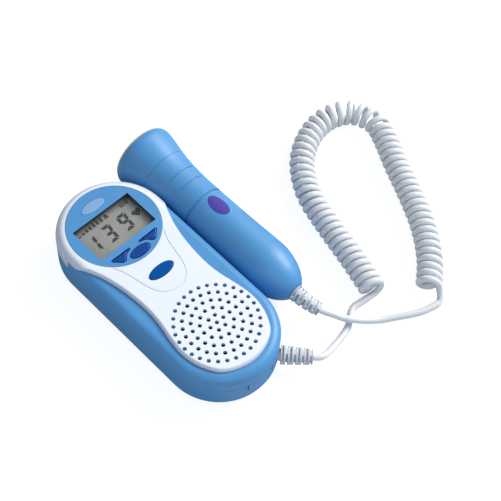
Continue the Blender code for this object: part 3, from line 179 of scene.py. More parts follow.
def moulded(name, colour, roughness, grain=1500.0, depth=0.00002, drift=0.04, coat=0.0,
            metallic=0.0, gloss=0.5, stretch=(1.0, 1.0, 1.0), rim=None):
    material, tree, shader = new_finish(name)
    fine = noise(tree, grain, 3.0, stretch)
    pigment = ramp(tree, noise(tree, DRIFT_SCALE), tint(colour, 1 - drift), tint(colour, 1 + drift))
    # Painted shade: steep faces are darkened by the rim tint, standing in for the shade on rounded edges
    if rim:
        normal = add(tree, "ShaderNodeNewGeometry", output="Normal")
        height = add(tree, "ShaderNodeSeparateXYZ", {0: normal}, output="Z")
        shading = ramp(tree, height, rim, WHITE, PAINTED_SHADE_STEEP, PAINTED_SHADE_FLAT)
        pigment = add(tree, "ShaderNodeMix", {0: 1.0, 6: pigment, 7: shading}, output=2,
                      data_type="RGBA", blend_type="MULTIPLY")
    wire(tree, shader, {
        "Base Color": pigment, "Metallic": metallic, "Specular IOR Level": gloss, "Coat Weight": coat,
        "Roughness": spread(tree, fine, roughness - ROUGHNESS_DRIFT, roughness + ROUGHNESS_DRIFT),
        "Coat Roughness": COAT_ROUGHNESS, "Normal": bump(tree, fine, GRAIN_STRENGTH, depth)})
    return material


# %% The moulded finishes
keys = dict(grain=700.0, depth=0.000005, drift=0.03)
housing_finish = moulded("housing", shade(68, 138, 194), 0.48, gloss=0.6)
# The cover's rolled rims get painted shade: their colour is multiplied down to a grey-blue where they slope
# away
cover_finish = moulded("cover", shade(231, 237, 245), 0.36, drift=0.012, rim=(0.74, 0.76, 0.85, 1.0))
button_finish = moulded("button", shade(6, 66, 144), 0.26, gloss=0.2, **keys)
power_finish = moulded("power_button", shade(0, 78, 152), 0.26, gloss=0.1, **keys)
relief_finish = moulded("relief", shade(200, 203, 208), 0.45, drift=0.02)
cord_finish = moulded("cord", shade(219, 221, 225), 0.29, grain=900.0, drift=0.01, coat=0.15, gloss=0.35)
face_finish = moulded("face", shade(208, 206, 200), 0.40, drift=0.02)
pale_badge_finish = moulded("pale_badge", shade(126, 168, 210), 0.30, drift=0.05, gloss=0.4)
purple_badge_finish = moulded("purple_badge", shade(66, 58, 148), 0.34, drift=0.06, gloss=0.3)
dark_finish = moulded("dark_plastic", shade(42, 42, 46), 0.50)
mark_finish = moulded("display_marks", shade(20, 22, 22), 0.50, drift=0.06, gloss=0.1)
seal_finish = moulded("seal", shade(38, 38, 38), 0.72, grain=2200.0)
paper_finish = moulded("paper", shade(70, 68, 66), 0.85, grain=2600.0, depth=0.00008, drift=0.15)
magnet_finish = moulded("magnet", shade(66, 66, 70), 0.60, grain=2400.0, drift=0.10, metallic=0.2)
steel_finish = moulded("steel", shade(196, 197, 200), 0.30, grain=500.0, depth=0.00001, metallic=1.0,
                       stretch=(1.0, 8.0, 1.0))
ceramic_finish = moulded("ceramic", shade(178, 158, 124), 0.50, grain=3000.0, drift=0.08)
backing_finish = moulded("backing", shade(108, 98, 90), 0.60, grain=1000.0, drift=0.18)
diffuser_finish = moulded("diffuser", shade(232, 236, 240), 0.50, drift=0.02)

# %% [markdown]
# The display's glass is all but clear, so the panel below it stays lit. The
# liquid crystal panel is a warm grey film with a painted shadow: its colour
# darkens towards its far and right edges, where the window's walls would shade it.
# The board has pale tracks under green lacquer, and a cell wears a printed sleeve.

# %% Finishes of the display, the board and the cells
# Painted shadow of the window's walls on the panel: where it starts, where it is darkest, and how dark it
# gets
FAR_SHADOW = (0.0450, 0.0481, 0.22)
RIGHT_SHADOW = (0.0156, 0.0177, 0.35)


def make_lens_finish():
    material, tree, shader = new_finish("lens")
    wire(tree, shader, {"Base Color": shade(214, 218, 214), "Alpha": 0.04,
                        "Roughness": spread(tree, noise(tree, 400.0), 0.05, 0.10)})
    return material


def make_panel_finish():
    material, tree, shader = new_finish("lcd")
    film = ramp(tree, noise(tree, 60.0, 1.0), shade(126, 126, 122), shade(146, 146, 141))
    fine = noise(tree, 5000.0, 1.0)
    place = add(tree, "ShaderNodeSeparateXYZ", {0: object_place(tree)}).node.outputs
    # Painted shadow: the film's colour is scaled down near the window's far and right walls
    shadow = 1.0
    for axis, (start, end, dark) in (("Y", FAR_SHADOW), ("X", RIGHT_SHADOW)):
        light = add(tree, "ShaderNodeMapRange", {"Value": place[axis], "From Min": start, "From Max": end,
                                                 "To Min": 1.0, "To Max": dark})
        shadow = math_node(tree, "MULTIPLY", light, shadow)
    dimmed = add(tree, "ShaderNodeVectorMath", {0: film, "Scale": shadow}, operation="SCALE")
    wire(tree, shader, {"Base Color": dimmed, "Roughness": spread(tree, fine, 0.30, 0.42),
                        "Normal": bump(tree, fine, 0.15, 0.00001)})
    return material


def make_board_finish():
    material, tree, shader = new_finish("board")
    tracks = add(tree, "ShaderNodeTexBrick", {
        "Vector": object_place(tree), "Scale": 260.0, "Color1": shade(24, 92, 52),
        "Color2": shade(30, 104, 58), "Mortar": shade(70, 150, 92), "Mortar Size": 0.03}).node.outputs
    wire(tree, shader, {"Base Color": tracks["Color"], "Roughness": 0.35,
                        "Normal": bump(tree, tracks["Fac"], 0.3, 0.00003)})
    return material


def make_cell_finish():
    material, tree, shader = new_finish("cell")
    bands = add(tree, "ShaderNodeTexWave", {"Vector": object_place(tree), "Scale": 9.0, "Distortion": 0.4},
                output="Fac", bands_direction="Y")
    wire(tree, shader, {"Base Color": ramp(tree, bands, shade(58, 72, 92), shade(176, 180, 186), 0.80, 0.84),
                        "Roughness": spread(tree, noise(tree, 300.0), 0.28, 0.36)})
    return material


lens_finish = make_lens_finish()
panel_finish = make_panel_finish()
board_finish = make_board_finish()
cell_finish = make_cell_finish()

# %% [markdown]
# ## From an outline to a solid
#
# A moulded shell is a flat outline that is pushed up in layers. Drawing the
# outline in by a little more at each layer rounds the rim, and this keeps all
# the edge loops parallel, which a bevel on a finished mesh can't promise.
# Holes are cut with an exact Boolean, whose result is made plain at once.


# %% Helpers for meshes
def stand(name, data):
    obj = bpy.data.objects.new(name, data)
    bpy.context.scene.collection.objects.link(obj)
    return obj


def length_of(line):
    return float(np.linalg.norm(np.diff(line, axis=0), axis=1).sum())


def solid(name, bm):
    bmesh.ops.recalc_face_normals(bm, faces=bm.faces)
    mesh = bpy.data.meshes.new(name)
    bm.to_mesh(mesh)
    bm.free()
    return stand(name, mesh)


def frozen(obj):
    """Make the result of the object's modifiers its plain mesh."""
    depsgraph = bpy.context.evaluated_depsgraph_get()
    mesh = bpy.data.meshes.new_from_object(obj.evaluated_get(depsgraph), depsgraph=depsgraph)
    if obj.type == "MESH":
        obj.modifiers.clear()
        obj.data = mesh
        return obj
    name = obj.name
    bpy.data.objects.remove(obj)
    return stand(name, mesh)


def merge(target, tool, operation):
    modifier = target.modifiers.new("merge", "BOOLEAN")
    modifier.operation = operation
    modifier.solver = "EXACT"
    modifier.object = tool
    frozen(target)
    bpy.data.objects.remove(tool)
    return target


def cut(target, *tools):
    for tool in tools:
        merge(target, tool, "DIFFERENCE")
    return target


def join(target, *tools):
    for tool in tools:
        merge(target, tool, "UNION")
    return target


def keep_inside(target, tool):
    return merge(target, tool, "INTERSECT")


def outset(outline, width):
    """Move each point of a counter-clockwise outline outwards by a width."""
    here = np.array(outline, dtype=float)
    one = here - np.roll(here, 1, axis=0)
    two = np.roll(here, -1, axis=0) - here
    one /= np.linalg.norm(one, axis=1)[:, None]
    two /= np.linalg.norm(two, axis=1)[:, None]
    normal = np.column_stack((one[:, 1] + two[:, 1], -one[:, 0] - two[:, 0]))
    normal /= np.linalg.norm(normal, axis=1)[:, None]
    reach = np.maximum(0.5, normal[:, 0] * one[:, 1] - normal[:, 1] * one[:, 0])
    return here + normal * (width / reach)[:, None]


def rim_layers(low, high, low_round=0.0, high_round=0.0, steps=8):
    """Pairs of inset and height that round the low and the high rim."""
    angles = np.linspace(0.0, math.pi / 2, steps + 1)
    layers = [(0.0, low)]
    if low_round > 0:
        layers = [(low_round * (1 - math.sin(a)), low + low_round * (1 - math.cos(a))) for a in angles]
    if high_round > 0:
        layers += [(high_round * (1 - math.cos(a)), high - high_round * (1 - math.sin(a))) for a in angles]
    else:
        layers.append((0.0, high))
    return layers


def loft(bm, rings):
    """Join each ring of vertices to the next, and close both ends."""
    for one, two in zip(rings, rings[1:]):
        for i in range(len(one)):
            bm.faces.new((one[i - 1], one[i], two[i], two[i - 1]))
    bm.faces.new(rings[0])
    bm.faces.new(rings[-1])


def block(name, outline, low, high, low_round=0.0, high_round=0.0, steps=8):
    bm = bmesh.new()
    rings = []
    for inset, z in rim_layers(low, high, low_round, high_round, steps):
        ring = outset(outline, -inset) if inset else np.array(outline)
        rings.append([bm.verts.new((x, y, z)) for x, y in ring])
    loft(bm, rings)
    return solid(name, bm)


def box(name, low, high):
    bm = bmesh.new()
    bmesh.ops.create_cube(bm, size=1.0)
    bmesh.ops.scale(bm, vec=[b - a for a, b in zip(low, high)], verts=bm.verts)
    bmesh.ops.translate(bm, vec=[(a + b) / 2 for a, b in zip(low, high)], verts=bm.verts)
    return solid(name, bm)


def even_angles(steps):
    return np.linspace(0.0, 2 * math.pi, steps, endpoint=False)


def oval(x, y, half_x, half_y, margin=0.0, steps=64):
    angles = even_angles(steps)
    return np.column_stack((x + (half_x + margin) * np.cos(angles), y + (half_y + margin) * np.sin(angles)))


def pillars(name, places, radius, low, high, sides=32):
    bm = bmesh.new()
    for x, y in places:
        made = bmesh.ops.create_cone(bm, cap_ends=True, segments=sides, radius1=radius, radius2=radius,
                                     depth=high - low)
        bmesh.ops.translate(bm, vec=(x, y, (low + high) / 2), verts=made["verts"])
    return solid(name, bm)


def smooth_line(route, step):
    """Points at even steps along a smooth curve through the route's points."""
    route = np.array(route, dtype=float)
    padded = np.vstack((2 * route[0] - route[1], route, 2 * route[-1] - route[-2]))
    pieces = []
    shares = np.linspace(0.0, 1.0, 40, endpoint=False)[:, None]
    for a, b, c, d in zip(padded, padded[1:], padded[2:], padded[3:]):
        bend = (2 * a - 5 * b + 4 * c - d) * shares**2 + (3 * b - a - 3 * c + d) * shares**3
        pieces.append((2 * b + (c - a) * shares + bend) / 2)
    dense = np.vstack(pieces + [route[-1:]])
    lengths = np.concatenate(([0.0], np.cumsum(np.linalg.norm(np.diff(dense, axis=0), axis=1))))
    places = np.linspace(0.0, lengths[-1], max(2, round(lengths[-1] / step) + 1))
    return np.column_stack([np.interp(places, lengths, dense[:, k]) for k in range(dense.shape[1])])


def tube(name, points, radius, resolution=4):
    """A round tube as a curve of one open spline."""
    curve = bpy.data.curves.new(name, "CURVE")
    curve.dimensions = "3D"
    curve.bevel_depth = radius
    curve.bevel_resolution = resolution
    curve.use_fill_caps = True
    spline = curve.splines.new("POLY")
    spline.points.add(len(points) - 1)
    spline.points.foreach_set("co", np.column_stack((points, np.ones(len(points)))).ravel())
    return stand(name, curve)


# %% [markdown]
# Every finished piece goes through one door: its smooth faces and crisp edges
# are set, the large flat faces get the last word on the shading near them, and
# the piece is tied to the moving part that carries it.

# %% Helper that finishes a piece
CRISP_ANGLE = math.radians(32)


def finished(obj, finish, body, slot, *stands_for):
    mesh = obj.data
    mesh.materials.clear()
    mesh.materials.append(finish)
    mesh.shade_smooth()
    mesh.set_sharp_from_angle(angle=CRISP_ANGLE)
    weigh = obj.modifiers.new("weigh", "WEIGHTED_NORMAL")
    weigh.keep_sharp = True
    frozen(obj)
    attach(obj, body)
    if stands_for:
        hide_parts(*stands_for)
    print(obj.name, len(obj.data.polygons), "faces")
    return obj


# %% [markdown]
# ## The case
#
# Seen from above the case is a stadium: two half circles joined by straight
# sides. The rear shell has a rounded floor, a wall, a battery bay and posts for
# the screws. The seam to the front shell is a fine gap between two eased edges.

# %% Sizes of the case
GAP = 0.0003
FINE_GAP = 0.0001
OVERRUN = 0.0020
CASE_RADIUS = 0.0291
CASE_HALF_LENGTH = 0.06625
ARC_Y = CASE_HALF_LENGTH - CASE_RADIUS
CASE_WALL = 0.0020
FLOOR = 0.0020
BASE_ROUND = 0.0060
SEAM_Z = 0.0153
SEAM_EASE = 0.0003
PLATE_Z = 0.0250
PLATE_THICK = 0.0020
SHOULDER_ROUND = 0.0045
UPPER_WALL = 0.0040
UPPER_WALL_Z = 0.0184
FACE_Z = 0.0270
ARC_STEPS = 48
WIDE = CASE_RADIUS + OVERRUN
FAR = CASE_HALF_LENGTH + OVERRUN


def stadium(inset=0.0):
    angles = np.linspace(0.0, math.pi, ARC_STEPS + 1)
    radius = CASE_RADIUS - inset
    far = np.column_stack((radius * np.cos(angles), ARC_Y + radius * np.sin(angles)))
    return np.vstack((-far, far))


# %% Rear housing
BAY_HALF_WIDTH = 0.0159
BAY_WALL = 0.0012
BAY_NEAR_Y = -0.0533
BAY_FAR_Y = 0.0025
BAY_HEIGHT = 0.0130
POST_RADIUS = 0.0020
POST_PLACES = [(x, y) for x in (-0.0160, 0.0160) for y in (0.0080, 0.0440)]
POST_TOP = 0.0170
SCREW_PLACES = [(-0.0196, -0.0170), (0.0196, -0.0170), (-0.0115, 0.0545), (0.0115, 0.0545)]
BOSS_RADIUS = 0.0030
SCREW_BORE = 0.0015
SCREW_HEAD_RADIUS = 0.0026
SCREW_HEAD_TOP = 0.0027
DOOR_HALF_WIDTH = 0.0154
DOOR_FAR_Y = -0.0053
LATCH_X = 0.0078
LATCH_SLOT = 0.0008
LATCH_LOW_Z = 0.0109
RELIEF_NECK = 0.0030
LEAD_ROOT = Vector((0.0159789, -0.0602668, 0.0090))
LEAD_HEADING = Vector((0.67301, -0.73963, 0.0))


def make_rear_housing():
    rear = block("rear_shell", stadium(), 0.0, SEAM_Z, BASE_ROUND, SEAM_EASE)
    cut(rear, block("cavity", stadium(CASE_WALL), FLOOR, SEAM_Z + OVERRUN, BASE_ROUND - FLOOR))
    bay_x = BAY_HALF_WIDTH + BAY_WALL
    bay = box("bay", (-bay_x, BAY_NEAR_Y - BAY_WALL, FLOOR / 2), (bay_x, BAY_FAR_Y + BAY_WALL, BAY_HEIGHT))
    cut(bay, box("bay_room", (-BAY_HALF_WIDTH, BAY_NEAR_Y, -OVERRUN),
                 (BAY_HALF_WIDTH, BAY_FAR_Y, BAY_HEIGHT + OVERRUN)))
    join(rear, bay)
    join(rear, pillars("bosses", SCREW_PLACES, BOSS_RADIUS, FLOOR / 2, SEAM_Z))
    join(rear, pillars("posts", POST_PLACES, POST_RADIUS, FLOOR / 2, POST_TOP))
    cut(rear, pillars("bores", SCREW_PLACES, SCREW_BORE, -OVERRUN, SEAM_Z + OVERRUN))
    cut(rear, pillars("recesses", SCREW_PLACES, SCREW_HEAD_RADIUS + GAP, -OVERRUN, SCREW_HEAD_TOP + GAP))
    door_x = DOOR_HALF_WIDTH + GAP
    cut(rear, box("door_opening", (-door_x, -FAR, -OVERRUN), (door_x, DOOR_FAR_Y + GAP, FLOOR + GAP)))
    for side in (-1, 1):
        low = (side * LATCH_X - LATCH_SLOT / 2, -FAR, LATCH_LOW_Z)
        high = (side * LATCH_X + LATCH_SLOT / 2, CASE_WALL - CASE_HALF_LENGTH + OVERRUN, SEAM_Z + OVERRUN)
        cut(rear, box("latch_slot", low, high))
    line = [LEAD_ROOT - LEAD_HEADING * CASE_WALL * 2, LEAD_ROOT + LEAD_HEADING * CASE_WALL * 2]
    cut(rear, frozen(tube("lead_hole", line, RELIEF_NECK + GAP)))
    return finished(rear, housing_finish, "unit", "housing", "rear_housing")


make_rear_housing()

# %% [markdown]
# The battery door is the part of the base between the bay's sides. A short hook
# holds its inner end and three grooves give the thumb a grip, so it slides off
# towards the speaker end.

# %% Battery door
HOOK_HALF_WIDTH = 0.0025
HOOK_ROOT = 0.0014
HOOK_REACH = 0.0030
HOOK_THICK = 0.0010
THUMB_GROOVES = 3
THUMB_PITCH = 0.0022
THUMB_WIDTH = 0.0010
THUMB_DEPTH = 0.0005
THUMB_HALF_LENGTH = 0.0060
THUMB_Y = -0.0450


def make_battery_door():
    door = block("door", stadium(), 0.0, SEAM_Z, BASE_ROUND)
    keep_inside(door, box("extent", (-DOOR_HALF_WIDTH, -FAR, -OVERRUN), (DOOR_HALF_WIDTH, DOOR_FAR_Y, FLOOR)))
    hook_top = FLOOR + GAP + HOOK_THICK
    riser = box("riser", (-HOOK_HALF_WIDTH, DOOR_FAR_Y - HOOK_ROOT - GAP, FLOOR / 2),
                (HOOK_HALF_WIDTH, DOOR_FAR_Y - GAP, hook_top))
    join(riser, box("tip", (-HOOK_HALF_WIDTH, DOOR_FAR_Y - HOOK_ROOT / 2, FLOOR + GAP),
                    (HOOK_HALF_WIDTH, DOOR_FAR_Y + HOOK_REACH, hook_top)))
    join(door, riser)
    for i in range(THUMB_GROOVES):
        y = THUMB_Y + i * THUMB_PITCH
        cut(door, box("groove", (-THUMB_HALF_LENGTH, y - THUMB_WIDTH / 2, -THUMB_DEPTH),
                      (THUMB_HALF_LENGTH, y + THUMB_WIDTH / 2, THUMB_DEPTH)))
    return finished(door, housing_finish, "battery_cover", "housing", "battery_door")


make_battery_door()

# %% [markdown]
# The front shell carries a flat blue plate with a broad rounded shoulder. At the
# display end it steps in, and the skirt of the white cover sits on that step.

# %% Front housing
SKIRT_THICK = 0.0019
SKIRT_Z = 0.0190
SKIRT_NOTCH_Z = 0.0240
SKIRT_Y = 0.0387
SKIRT_NOTCH_Y = 0.0310
LIP_ROUND = 0.0020
FACE_ROUND = 0.0050
COVER_FLOOR_Z = PLATE_Z + GAP
BOARD_TOP = 0.0189
WINDOW_Y = 0.03745
WINDOW_HALF_WIDTH = 0.0176
WINDOW_HALF_HEIGHT = 0.01055
LENS_MARGIN = 0.0010
POWER_Y = 0.00345
POWER_HALF_WIDTH = 0.0072
POWER_HALF_HEIGHT = 0.00305
FLANGE_WIDTH = 0.0004
KEYPAD_HALF_WIDTH = 0.0156
KEYPAD_LOW_Y = 0.0144
KEYPAD_HIGH_Y = 0.0245
SPEAKER_Y = -0.0351
SPEAKER_HOLE_RADIUS = 0.0190


def make_front_housing():
    front = block("front_shell", stadium(), SEAM_Z + GAP, PLATE_Z, SEAM_EASE, SHOULDER_ROUND, 12)
    cut(front, box("skirt_low", (-WIDE, SKIRT_Y - GAP, SKIRT_Z - GAP), (WIDE, FAR, FACE_Z)))
    cut(front, box("skirt_high", (-WIDE, SKIRT_NOTCH_Y - GAP, SKIRT_NOTCH_Z - GAP), (WIDE, FAR, FACE_Z)))
    deck = block("deck", stadium(SKIRT_THICK + GAP), SEAM_Z + GAP, PLATE_Z, 0.0, LIP_ROUND)
    keep_inside(deck, box("deck_extent", (-WIDE, SKIRT_NOTCH_Y - 2 * GAP, SEAM_Z), (WIDE, FAR, FACE_Z)))
    join(front, deck)
    cut(front, block("room_low", stadium(CASE_WALL), SEAM_Z - OVERRUN, UPPER_WALL_Z))
    cut(front, block("room_high", stadium(UPPER_WALL), SEAM_Z, PLATE_Z - PLATE_THICK))
    lens_x = WINDOW_HALF_WIDTH + LENS_MARGIN + GAP
    lens_y = WINDOW_HALF_HEIGHT + LENS_MARGIN + GAP
    cut(front, box("lens_opening", (-lens_x, WINDOW_Y - lens_y, BOARD_TOP),
                   (lens_x, WINDOW_Y + lens_y, FACE_Z)))
    cut(front, box("keypad_opening", (-KEYPAD_HALF_WIDTH, KEYPAD_LOW_Y, BOARD_TOP),
                   (KEYPAD_HALF_WIDTH, KEYPAD_HIGH_Y, FACE_Z)))
    power = oval(0.0, POWER_Y, POWER_HALF_WIDTH, POWER_HALF_HEIGHT, FLANGE_WIDTH + GAP)
    cut(front, block("power_opening", power, BOARD_TOP, FACE_Z))
    cut(front, pillars("speaker_opening", [(0.0, SPEAKER_Y)], SPEAKER_HOLE_RADIUS, BOARD_TOP, FACE_Z, 96))
    return finished(front, housing_finish, "unit", "housing", "front_housing")


make_front_housing()

# %% [markdown]
# ## Geometry nodes
#
# What repeats is grown by a small tree of nodes. The tree is written in the
# script, its sizes are named inputs, and its result is turned into a plain mesh.


# %% Helpers for node trees
def new_tree(name, *sockets):
    tree = bpy.data.node_groups.new(name, "GeometryNodeTree")
    tree.interface.new_socket("Geometry", in_out="INPUT", socket_type="NodeSocketGeometry")
    for label, kind in sockets:
        tree.interface.new_socket(label, in_out="INPUT", socket_type="NodeSocket" + kind)
    tree.interface.new_socket("Geometry", in_out="OUTPUT", socket_type="NodeSocketGeometry")
    return tree, tree.nodes.new("NodeGroupInput").outputs


def gather(tree, shapes):
    joined = tree.nodes.new("GeometryNodeJoinGeometry")
    for shape in shapes:
        tree.links.new(shape, joined.inputs[0])
    return joined.outputs[0]


def tree_end(tree, shapes, material):
    real = add(tree, "GeometryNodeRealizeInstances", {0: gather(tree, shapes)})
    painted = add(tree, "GeometryNodeSetMaterial", {"Geometry": real, "Material": material})
    tree.links.new(painted, tree.nodes.new("NodeGroupOutput").inputs[0])


def grow(obj, tree, **values):
    modifier = obj.modifiers.new(tree.name, "NODES")
    modifier.node_group = tree
    for item in tree.interface.items_tree:
        label = item.name.lower().replace(" ", "_")
        if item.in_out == "INPUT" and label in values:
            modifier[item.identifier] = values[label]
    return frozen(obj)


def grow_new(name, tree, **values):
    return grow(stand(name, bpy.data.meshes.new(name)), tree, **values)


# %% [markdown]
# ## The face cover
#
# The cover is keyhole shaped: round over the display, narrow at the waist and
# round again over the speaker. The grille is a middle hole and five rings, each
# with six holes more than the ring inside it. The tree makes a circle of points
# for each ring and stands a pin on every point. The pins then cut the cover.

# %% Grille pins
GRILLE_RINGS = 5
GRILLE_FIRST_RING = 6
GRILLE_PITCH = 0.004093
GRILLE_HOLE_RADIUS = 0.00105
GRILLE_HOLE_SIDES = 20


def make_grille_pins():
    tree, given = new_tree("grille_pins", ("Pitch", "Float"), ("Hole Radius", "Float"), ("Depth", "Float"),
                           ("Centre", "Vector"), ("Material", "Material"))
    places = [add(tree, "GeometryNodePoints", {"Count": 1})]
    for ring in range(1, GRILLE_RINGS + 1):
        radius = math_node(tree, "MULTIPLY", given["Pitch"], float(ring))
        places.append(add(tree, "GeometryNodeMeshCircle", {"Vertices": GRILLE_FIRST_RING * ring,
                                                           "Radius": radius}))
    pin = add(tree, "GeometryNodeMeshCylinder", {"Vertices": GRILLE_HOLE_SIDES, "Depth": given["Depth"],
                                                 "Radius": given["Hole Radius"]})
    pins = add(tree, "GeometryNodeInstanceOnPoints", {"Points": gather(tree, places), "Instance": pin})
    moved = add(tree, "GeometryNodeTransform", {"Geometry": pins, "Translation": given["Centre"]})
    tree_end(tree, [moved], given["Material"])
    return grow_new("grille_pins", tree, pitch=GRILLE_PITCH, hole_radius=GRILLE_HOLE_RADIUS,
                    depth=4 * OVERRUN, centre=(0.0, SPEAKER_Y, FACE_Z), material=cover_finish)


# %% Face cover
BEZEL_Y = 0.0379
BEZEL_RADIUS = 0.02366
BEZEL_SIDES = 160
GROOVE_RADIUS = 0.0003
OUTLINE_STEP = CASE_RADIUS / 36
# Half outline of the cover from its near tip, as shares of the case's half
# length and half width
FACE_SHARES = (
    (-0.915, 0.000), (-0.893, 0.285), (-0.836, 0.530), (-0.750, 0.672), (-0.640, 0.765),
    (-0.520, 0.792), (-0.392, 0.757), (-0.242, 0.692), (-0.106, 0.669), (0.045, 0.689),
    (0.181, 0.735), (0.302, 0.803), (0.408, 0.893), (0.490, 0.975), (0.570, 1.080),
)
# Half outline of the fine groove that runs round the power button
GROOVE_SHARES = (
    (-0.133, 0.000), (-0.124, 0.137), (-0.086, 0.258), (-0.030, 0.340), (0.060, 0.400),
    (0.180, 0.455), (0.250, 0.505), (0.299, 0.560),
)


def both_sides(shares):
    half = np.array([(CASE_RADIUS * x, CASE_HALF_LENGTH * y) for y, x in shares])
    return smooth_line(np.vstack((half[:0:-1] * (-1, 1), half)), OUTLINE_STEP)


def make_face_cover():
    cover = block("cover", stadium(), SKIRT_Z, FACE_Z, 0.0, FACE_ROUND, 12)
    outline = both_sides(FACE_SHARES)
    right = outline[len(outline) // 2:]
    far = np.array([(right[-1][0], FAR), (-right[-1][0], FAR)])
    keyhole = np.vstack((right, far, outline[:len(outline) // 2]))
    keep_inside(cover, block("keyhole", keyhole, SKIRT_Z - OVERRUN, FACE_Z + GAP / 6, 0.0, LIP_ROUND, 10))
    bed = block("bed", stadium(-GAP), SKIRT_Z - 2 * OVERRUN, COVER_FLOOR_Z, 0.0, SHOULDER_ROUND + GAP, 12)
    keep_inside(bed, box("bed_extent", (-WIDE, -FAR, SKIRT_Z - 3 * OVERRUN), (WIDE, SKIRT_NOTCH_Y, FACE_Z)))
    cut(cover, bed)
    cut(cover, box("notch", (-WIDE, SKIRT_NOTCH_Y - OVERRUN, SKIRT_Z - OVERRUN),
                   (WIDE, SKIRT_Y, SKIRT_NOTCH_Z)))
    room = block("room", stadium(SKIRT_THICK), SKIRT_Z - OVERRUN, COVER_FLOOR_Z, 0.0, LIP_ROUND + GAP)
    keep_inside(room, box("room_extent", (-WIDE, SKIRT_NOTCH_Y - GAP, SKIRT_Z - 2 * OVERRUN),
                          (WIDE, FAR, FACE_Z)))
    cut(cover, room)
    low = PLATE_Z - OVERRUN
    high = FACE_Z + OVERRUN
    cut(cover, pillars("bezel_hole", [(0.0, BEZEL_Y)], BEZEL_RADIUS + FINE_GAP, low, high, BEZEL_SIDES))
    cut(cover, block("power_hole", oval(0.0, POWER_Y, POWER_HALF_WIDTH, POWER_HALF_HEIGHT, GAP), low, high))
    cut(cover, make_grille_pins())
    groove = both_sides(GROOVE_SHARES)
    line = np.column_stack((groove, np.full(len(groove), FACE_Z)))
    cut(cover, frozen(tube("tongue_groove", line, GROOVE_RADIUS, 1)))
    return finished(cover, cover_finish, "unit", "cover", "face_cover")


make_face_cover()

# %% [markdown]
# ## The display
#
# A round blue bezel holds the display window and three of the buttons. The
# walls of the window are printed dark, so the panel seems to lie in a deep well.

# %% Bezel and its badge
BEZEL_EDGE = 0.00035
MODE_Y = 0.0185
MODE_HALF_WIDTH = 0.0059
MODE_HALF_HEIGHT = 0.0026
ARROW_X = 0.0092
ARROW_Y = 0.0214
ARROW_LENGTH = 0.0119
ARROW_HEIGHT = 0.0048
# The left arrow's corners, as shares of its length and height
ARROW_SHARES = (
    (-0.480, 0.420), (-0.270, -0.080), (-0.140, -0.440), (-0.040, -0.560), (0.070, -0.470),
    (0.170, -0.130), (0.280, 0.090), (0.420, 0.190), (0.520, 0.240), (0.520, 0.390),
    (0.020, 0.360),
)
ARROW_CUT = 0.2
BADGE_Y = 0.0535
BADGE_HALF_WIDTH = 0.0069
BADGE_HALF_HEIGHT = 0.0029
BADGE_THICK = 0.0006
BADGE_PROUD = 0.0001


def arrow_outline(side):
    """The left arrow's outline with its corners cut round, or its mirror."""
    points = np.array([(ARROW_LENGTH * x - ARROW_X, ARROW_HEIGHT * y + ARROW_Y) for x, y in ARROW_SHARES])
    for _ in range(3):
        after = np.roll(points, -1, axis=0)
        near = (1 - ARROW_CUT) * points + ARROW_CUT * after
        far = ARROW_CUT * points + (1 - ARROW_CUT) * after
        points = np.stack((near, far), axis=1).reshape(-1, 2)
    if side > 0:
        points = points[::-1] * (-1, 1)
    return points


def make_bezel():
    disc = oval(0.0, BEZEL_Y, BEZEL_RADIUS, BEZEL_RADIUS, steps=BEZEL_SIDES)
    bezel = block("bezel", disc, COVER_FLOOR_Z, FACE_Z, 0.0, BEZEL_EDGE, 4)
    low = PLATE_Z - OVERRUN
    high = FACE_Z + OVERRUN
    window_low = WINDOW_Y - WINDOW_HALF_HEIGHT
    window_high = WINDOW_Y + WINDOW_HALF_HEIGHT
    cut(bezel, box("window", (-WINDOW_HALF_WIDTH, window_low, low), (WINDOW_HALF_WIDTH, window_high, high)))
    cut(bezel, block("mode_hole", oval(0.0, MODE_Y, MODE_HALF_WIDTH, MODE_HALF_HEIGHT, GAP), low, high))
    for side in (-1, 1):
        cut(bezel, block("arrow_hole", outset(arrow_outline(side), GAP), low, high))
    recess_floor = FACE_Z + BADGE_PROUD - BADGE_THICK - GAP
    recess = oval(0.0, BADGE_Y, BADGE_HALF_WIDTH, BADGE_HALF_HEIGHT, FINE_GAP)
    cut(bezel, block("badge_recess", recess, recess_floor, high))
    finished(bezel, housing_finish, "unit", "housing", "display_bezel")
    bezel.data.materials.append(dark_finish)
    for face in bezel.data.polygons:
        x, y, z = face.center
        in_window = abs(x) < WINDOW_HALF_WIDTH + GAP and window_low - GAP < y < window_high + GAP
        if in_window and abs(face.normal.z) < 0.5:
            face.material_index = 1
    badge = block("badge", oval(0.0, BADGE_Y, BADGE_HALF_WIDTH, BADGE_HALF_HEIGHT), recess_floor + GAP,
                  FACE_Z + BADGE_PROUD, 0.0, BADGE_THICK / 2, 4)
    return finished(badge, pale_badge_finish, "unit", "pale_badge", "bezel_badge")


make_bezel()

# %% [markdown]
# The panel shows a heart rate in slanted seven-part figures, a row of rising
# bars for the sound's strength, a bell, a charge mark and a heart. They are thin
# pieces on top of the panel. Each figure is a list of the parts that are dark.

# %% Figures on the display
PANEL_TOP = 0.0239
MARK_THICK = 0.00006
FIGURE_HALF_WIDTH = 0.0028
FIGURE_HALF_HEIGHT = 0.0051
FIGURE_Y = 0.0373
FIGURE_XS = (-0.01325, -0.0032, 0.00685)
FIGURE_PARTS = ("bc", "abcdg", "abcdfg")
PART_THICK = 0.0017
PART_GAP = 0.00012
CORNER_CUT = 0.0004
SLANT = 0.10
# Each part is the top, the upper right or the middle part, mirrored across x and y
PART_KINDS = {
    "a": ("top", 1, 1), "b": ("right", 1, 1), "c": ("right", 1, -1), "d": ("top", 1, -1),
    "e": ("right", -1, -1), "f": ("right", -1, 1), "g": ("middle", 1, 1),
}


def add_mark(bm, outline):
    loft(bm, [[bm.verts.new((x, y, z)) for x, y in outline] for z in (PANEL_TOP, PANEL_TOP + MARK_THICK)])


